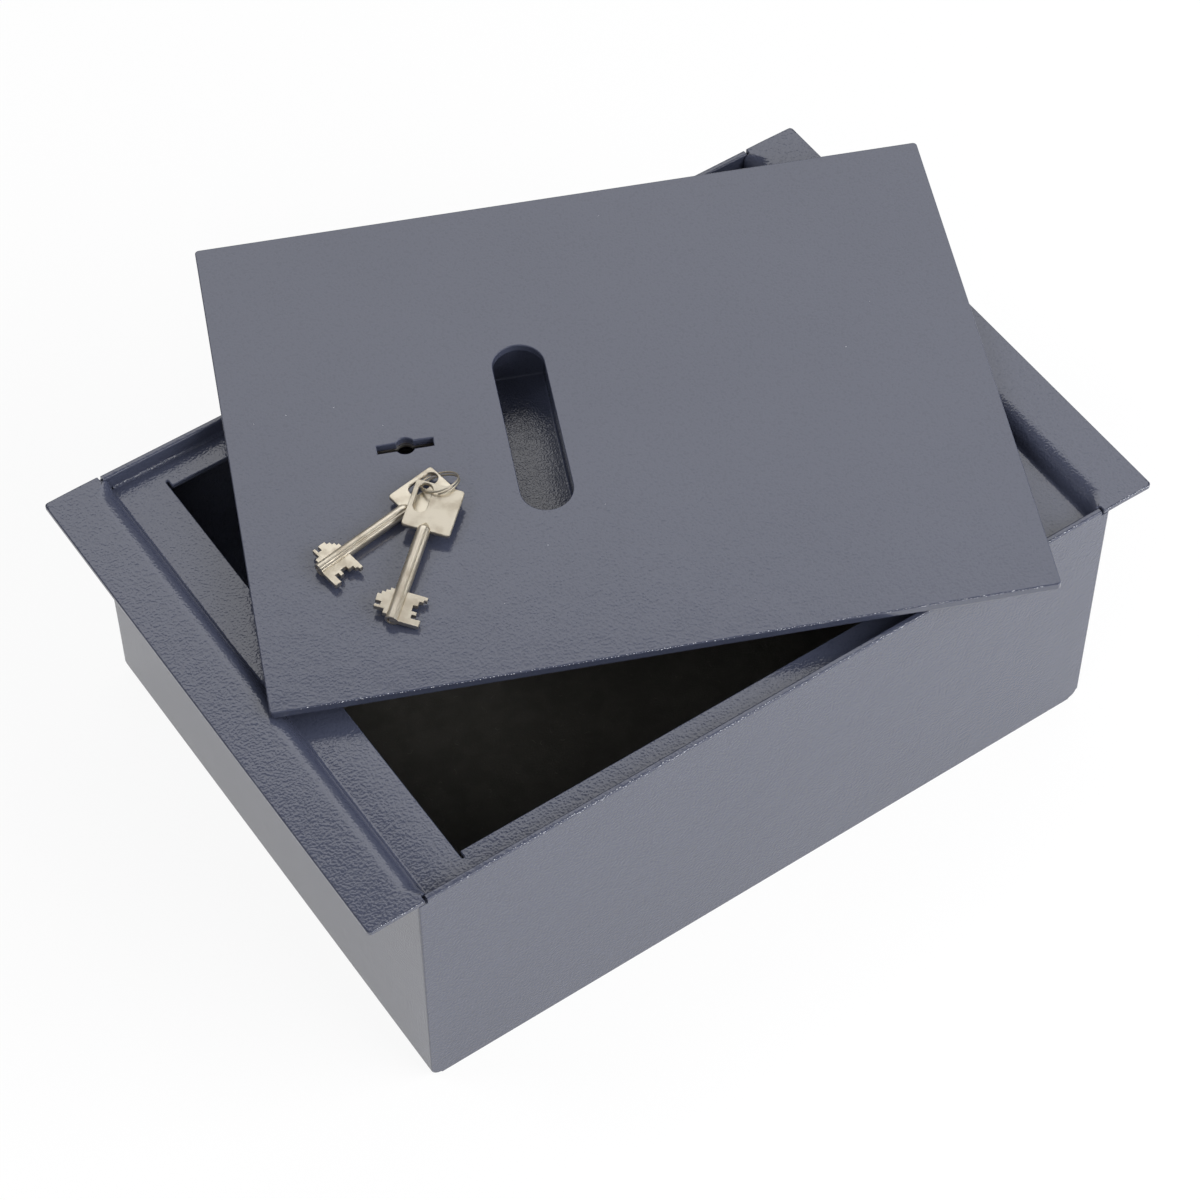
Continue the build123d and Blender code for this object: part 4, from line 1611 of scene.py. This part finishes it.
@dataclass
class Studio:
    """Plain pale floor, bright room, soft lamps round the safe, and the camera."""

    camera_place: Point = (-0.51938, -0.76214, 1.28392)
    camera_turn: Point = (37.03435, 0.16047, -34.50745)
    lens: float = 103.2891
    sensor: float = 36.0
    floor_half: float = 6.0
    sky: Colour = (0.24, 0.24, 0.25)
    ceiling: Colour = (0.10, 0.10, 0.11)
    horizon: Colour = (0.16, 0.16, 0.17)
    floor_colour: Colour = (0.82, 0.82, 0.82)
    lamps: tuple[SoftBox, ...] = (
        SoftBox("back_panel", (0.962, 1.325, 1.895), (3.0, 1.28), 15.6),
        SoftBox("high_lamp", (-1.1, 0.8, 1.9), (0.8, 0.8), 12.0, False),
        SoftBox("front_lamp", (0.95, -1.25, 1.0), (2.0, 1.4), 40.0, False),
        SoftBox("front_card", (0.9, -1.3, 1.0), (2.0, 0.45), 9.0),
        SoftBox("side_lamp", (-1.3, -1.0, 0.8), (1.2, 0.9), 5.0, False),
        SoftBox("fill_lamp", (-0.9, -0.9, 1.6), (1.0, 0.8), 5.0, False),
        SoftBox("key_card", (0.70, 0.27, 2.08), (0.6, 0.4), 1.4))

    def build(self) -> None:
        """Set the camera, the floor and the light."""
        self.camera()
        self.floor()
        self.world()
        for lamp in self.lamps:
            lamp.build()
        bpy.context.scene.view_settings.view_transform = "Standard"

    def camera(self) -> None:
        """The camera at the photograph's place and angle."""
        data = bpy.data.cameras.new("camera")
        data.sensor_width = self.sensor
        data.lens = self.lens
        data.clip_start = 0.01
        data.clip_end = 50.0
        camera = bpy.data.objects.new("camera", data)
        turn = Euler([math.radians(angle) for angle in self.camera_turn], "XYZ")
        camera.matrix_world = Matrix.Translation(self.camera_place) @ turn.to_matrix().to_4x4()
        bpy.context.scene.collection.objects.link(camera)
        bpy.context.scene.camera = camera

    def floor(self) -> None:
        """A wide pale floor that shows white and keeps a trace of shadow."""
        build = bmesh.new()
        half = self.floor_half
        corners = ((-half, -half), (half, -half), (half, half), (-half, half))
        build.faces.new([build.verts.new((x, y, 0.0)) for x, y in corners])
        material, bench, shader = new_material("studio_floor")
        bench.supply(shader, {"Base Color": self.floor_colour, "Roughness": 0.9})
        camera, glossy, through = map(bench.ray, ("Camera", "Glossy", "Transmission"))
        seen = bench.node("ShaderNodeMath", {"operation": "MINIMUM"},
                          {0: 0.90 * (camera + through) + 0.59 * glossy, 1: 0.90})
        glow = bench.node("ShaderNodeEmission", {}, {"Color": (1.0, 1.0, 1.0), "Strength": 1.0})
        shown = bench.node("ShaderNodeMixShader", {},
                           {0: seen, 1: Wire(bench, shader.outputs[0]), 2: glow})
        bench.feed(bench.tree.nodes["Material Output"].inputs["Surface"], shown)
        floor = add_object("studio_floor", mesh_of("studio_floor", build), material)

    def world(self) -> None:
        """A bright room, white where the camera looks past the floor."""
        world = bpy.data.worlds.new("studio")
        bpy.context.scene.world = world
        world.use_nodes = True
        bench = Bench(world.node_tree)
        camera, glossy = map(bench.ray, ("Camera", "Glossy"))
        way = bench.node("ShaderNodeTexCoord", out="Generated")
        rise = bench.node("ShaderNodeSeparateXYZ", {}, {0: way}, "Z")
        room = bench.mix(bench.band(rise, 0.50, 0.86, 0.0, 1.0), self.horizon, self.ceiling)
        tone = bench.mix(glossy, self.sky, room)
        tone = bench.mix(camera, tone, (1.0, 1.0, 1.0))
        back = world.node_tree.nodes["Background"]
        bench.feed(back.inputs["Color"], tone)


def main() -> None:
    """Build the safe piece by piece, then the studio."""
    logging.basicConfig(level=logging.INFO, format="%(name)s: %(message)s")
    SafeBox().build()
    FloorMat().build()
    LiftLid().build()
    LeverLock().build()
    KeyBunch().build()
    PaintedGlints().build()
    Studio().build()


if __name__ == "__main__":
    main()
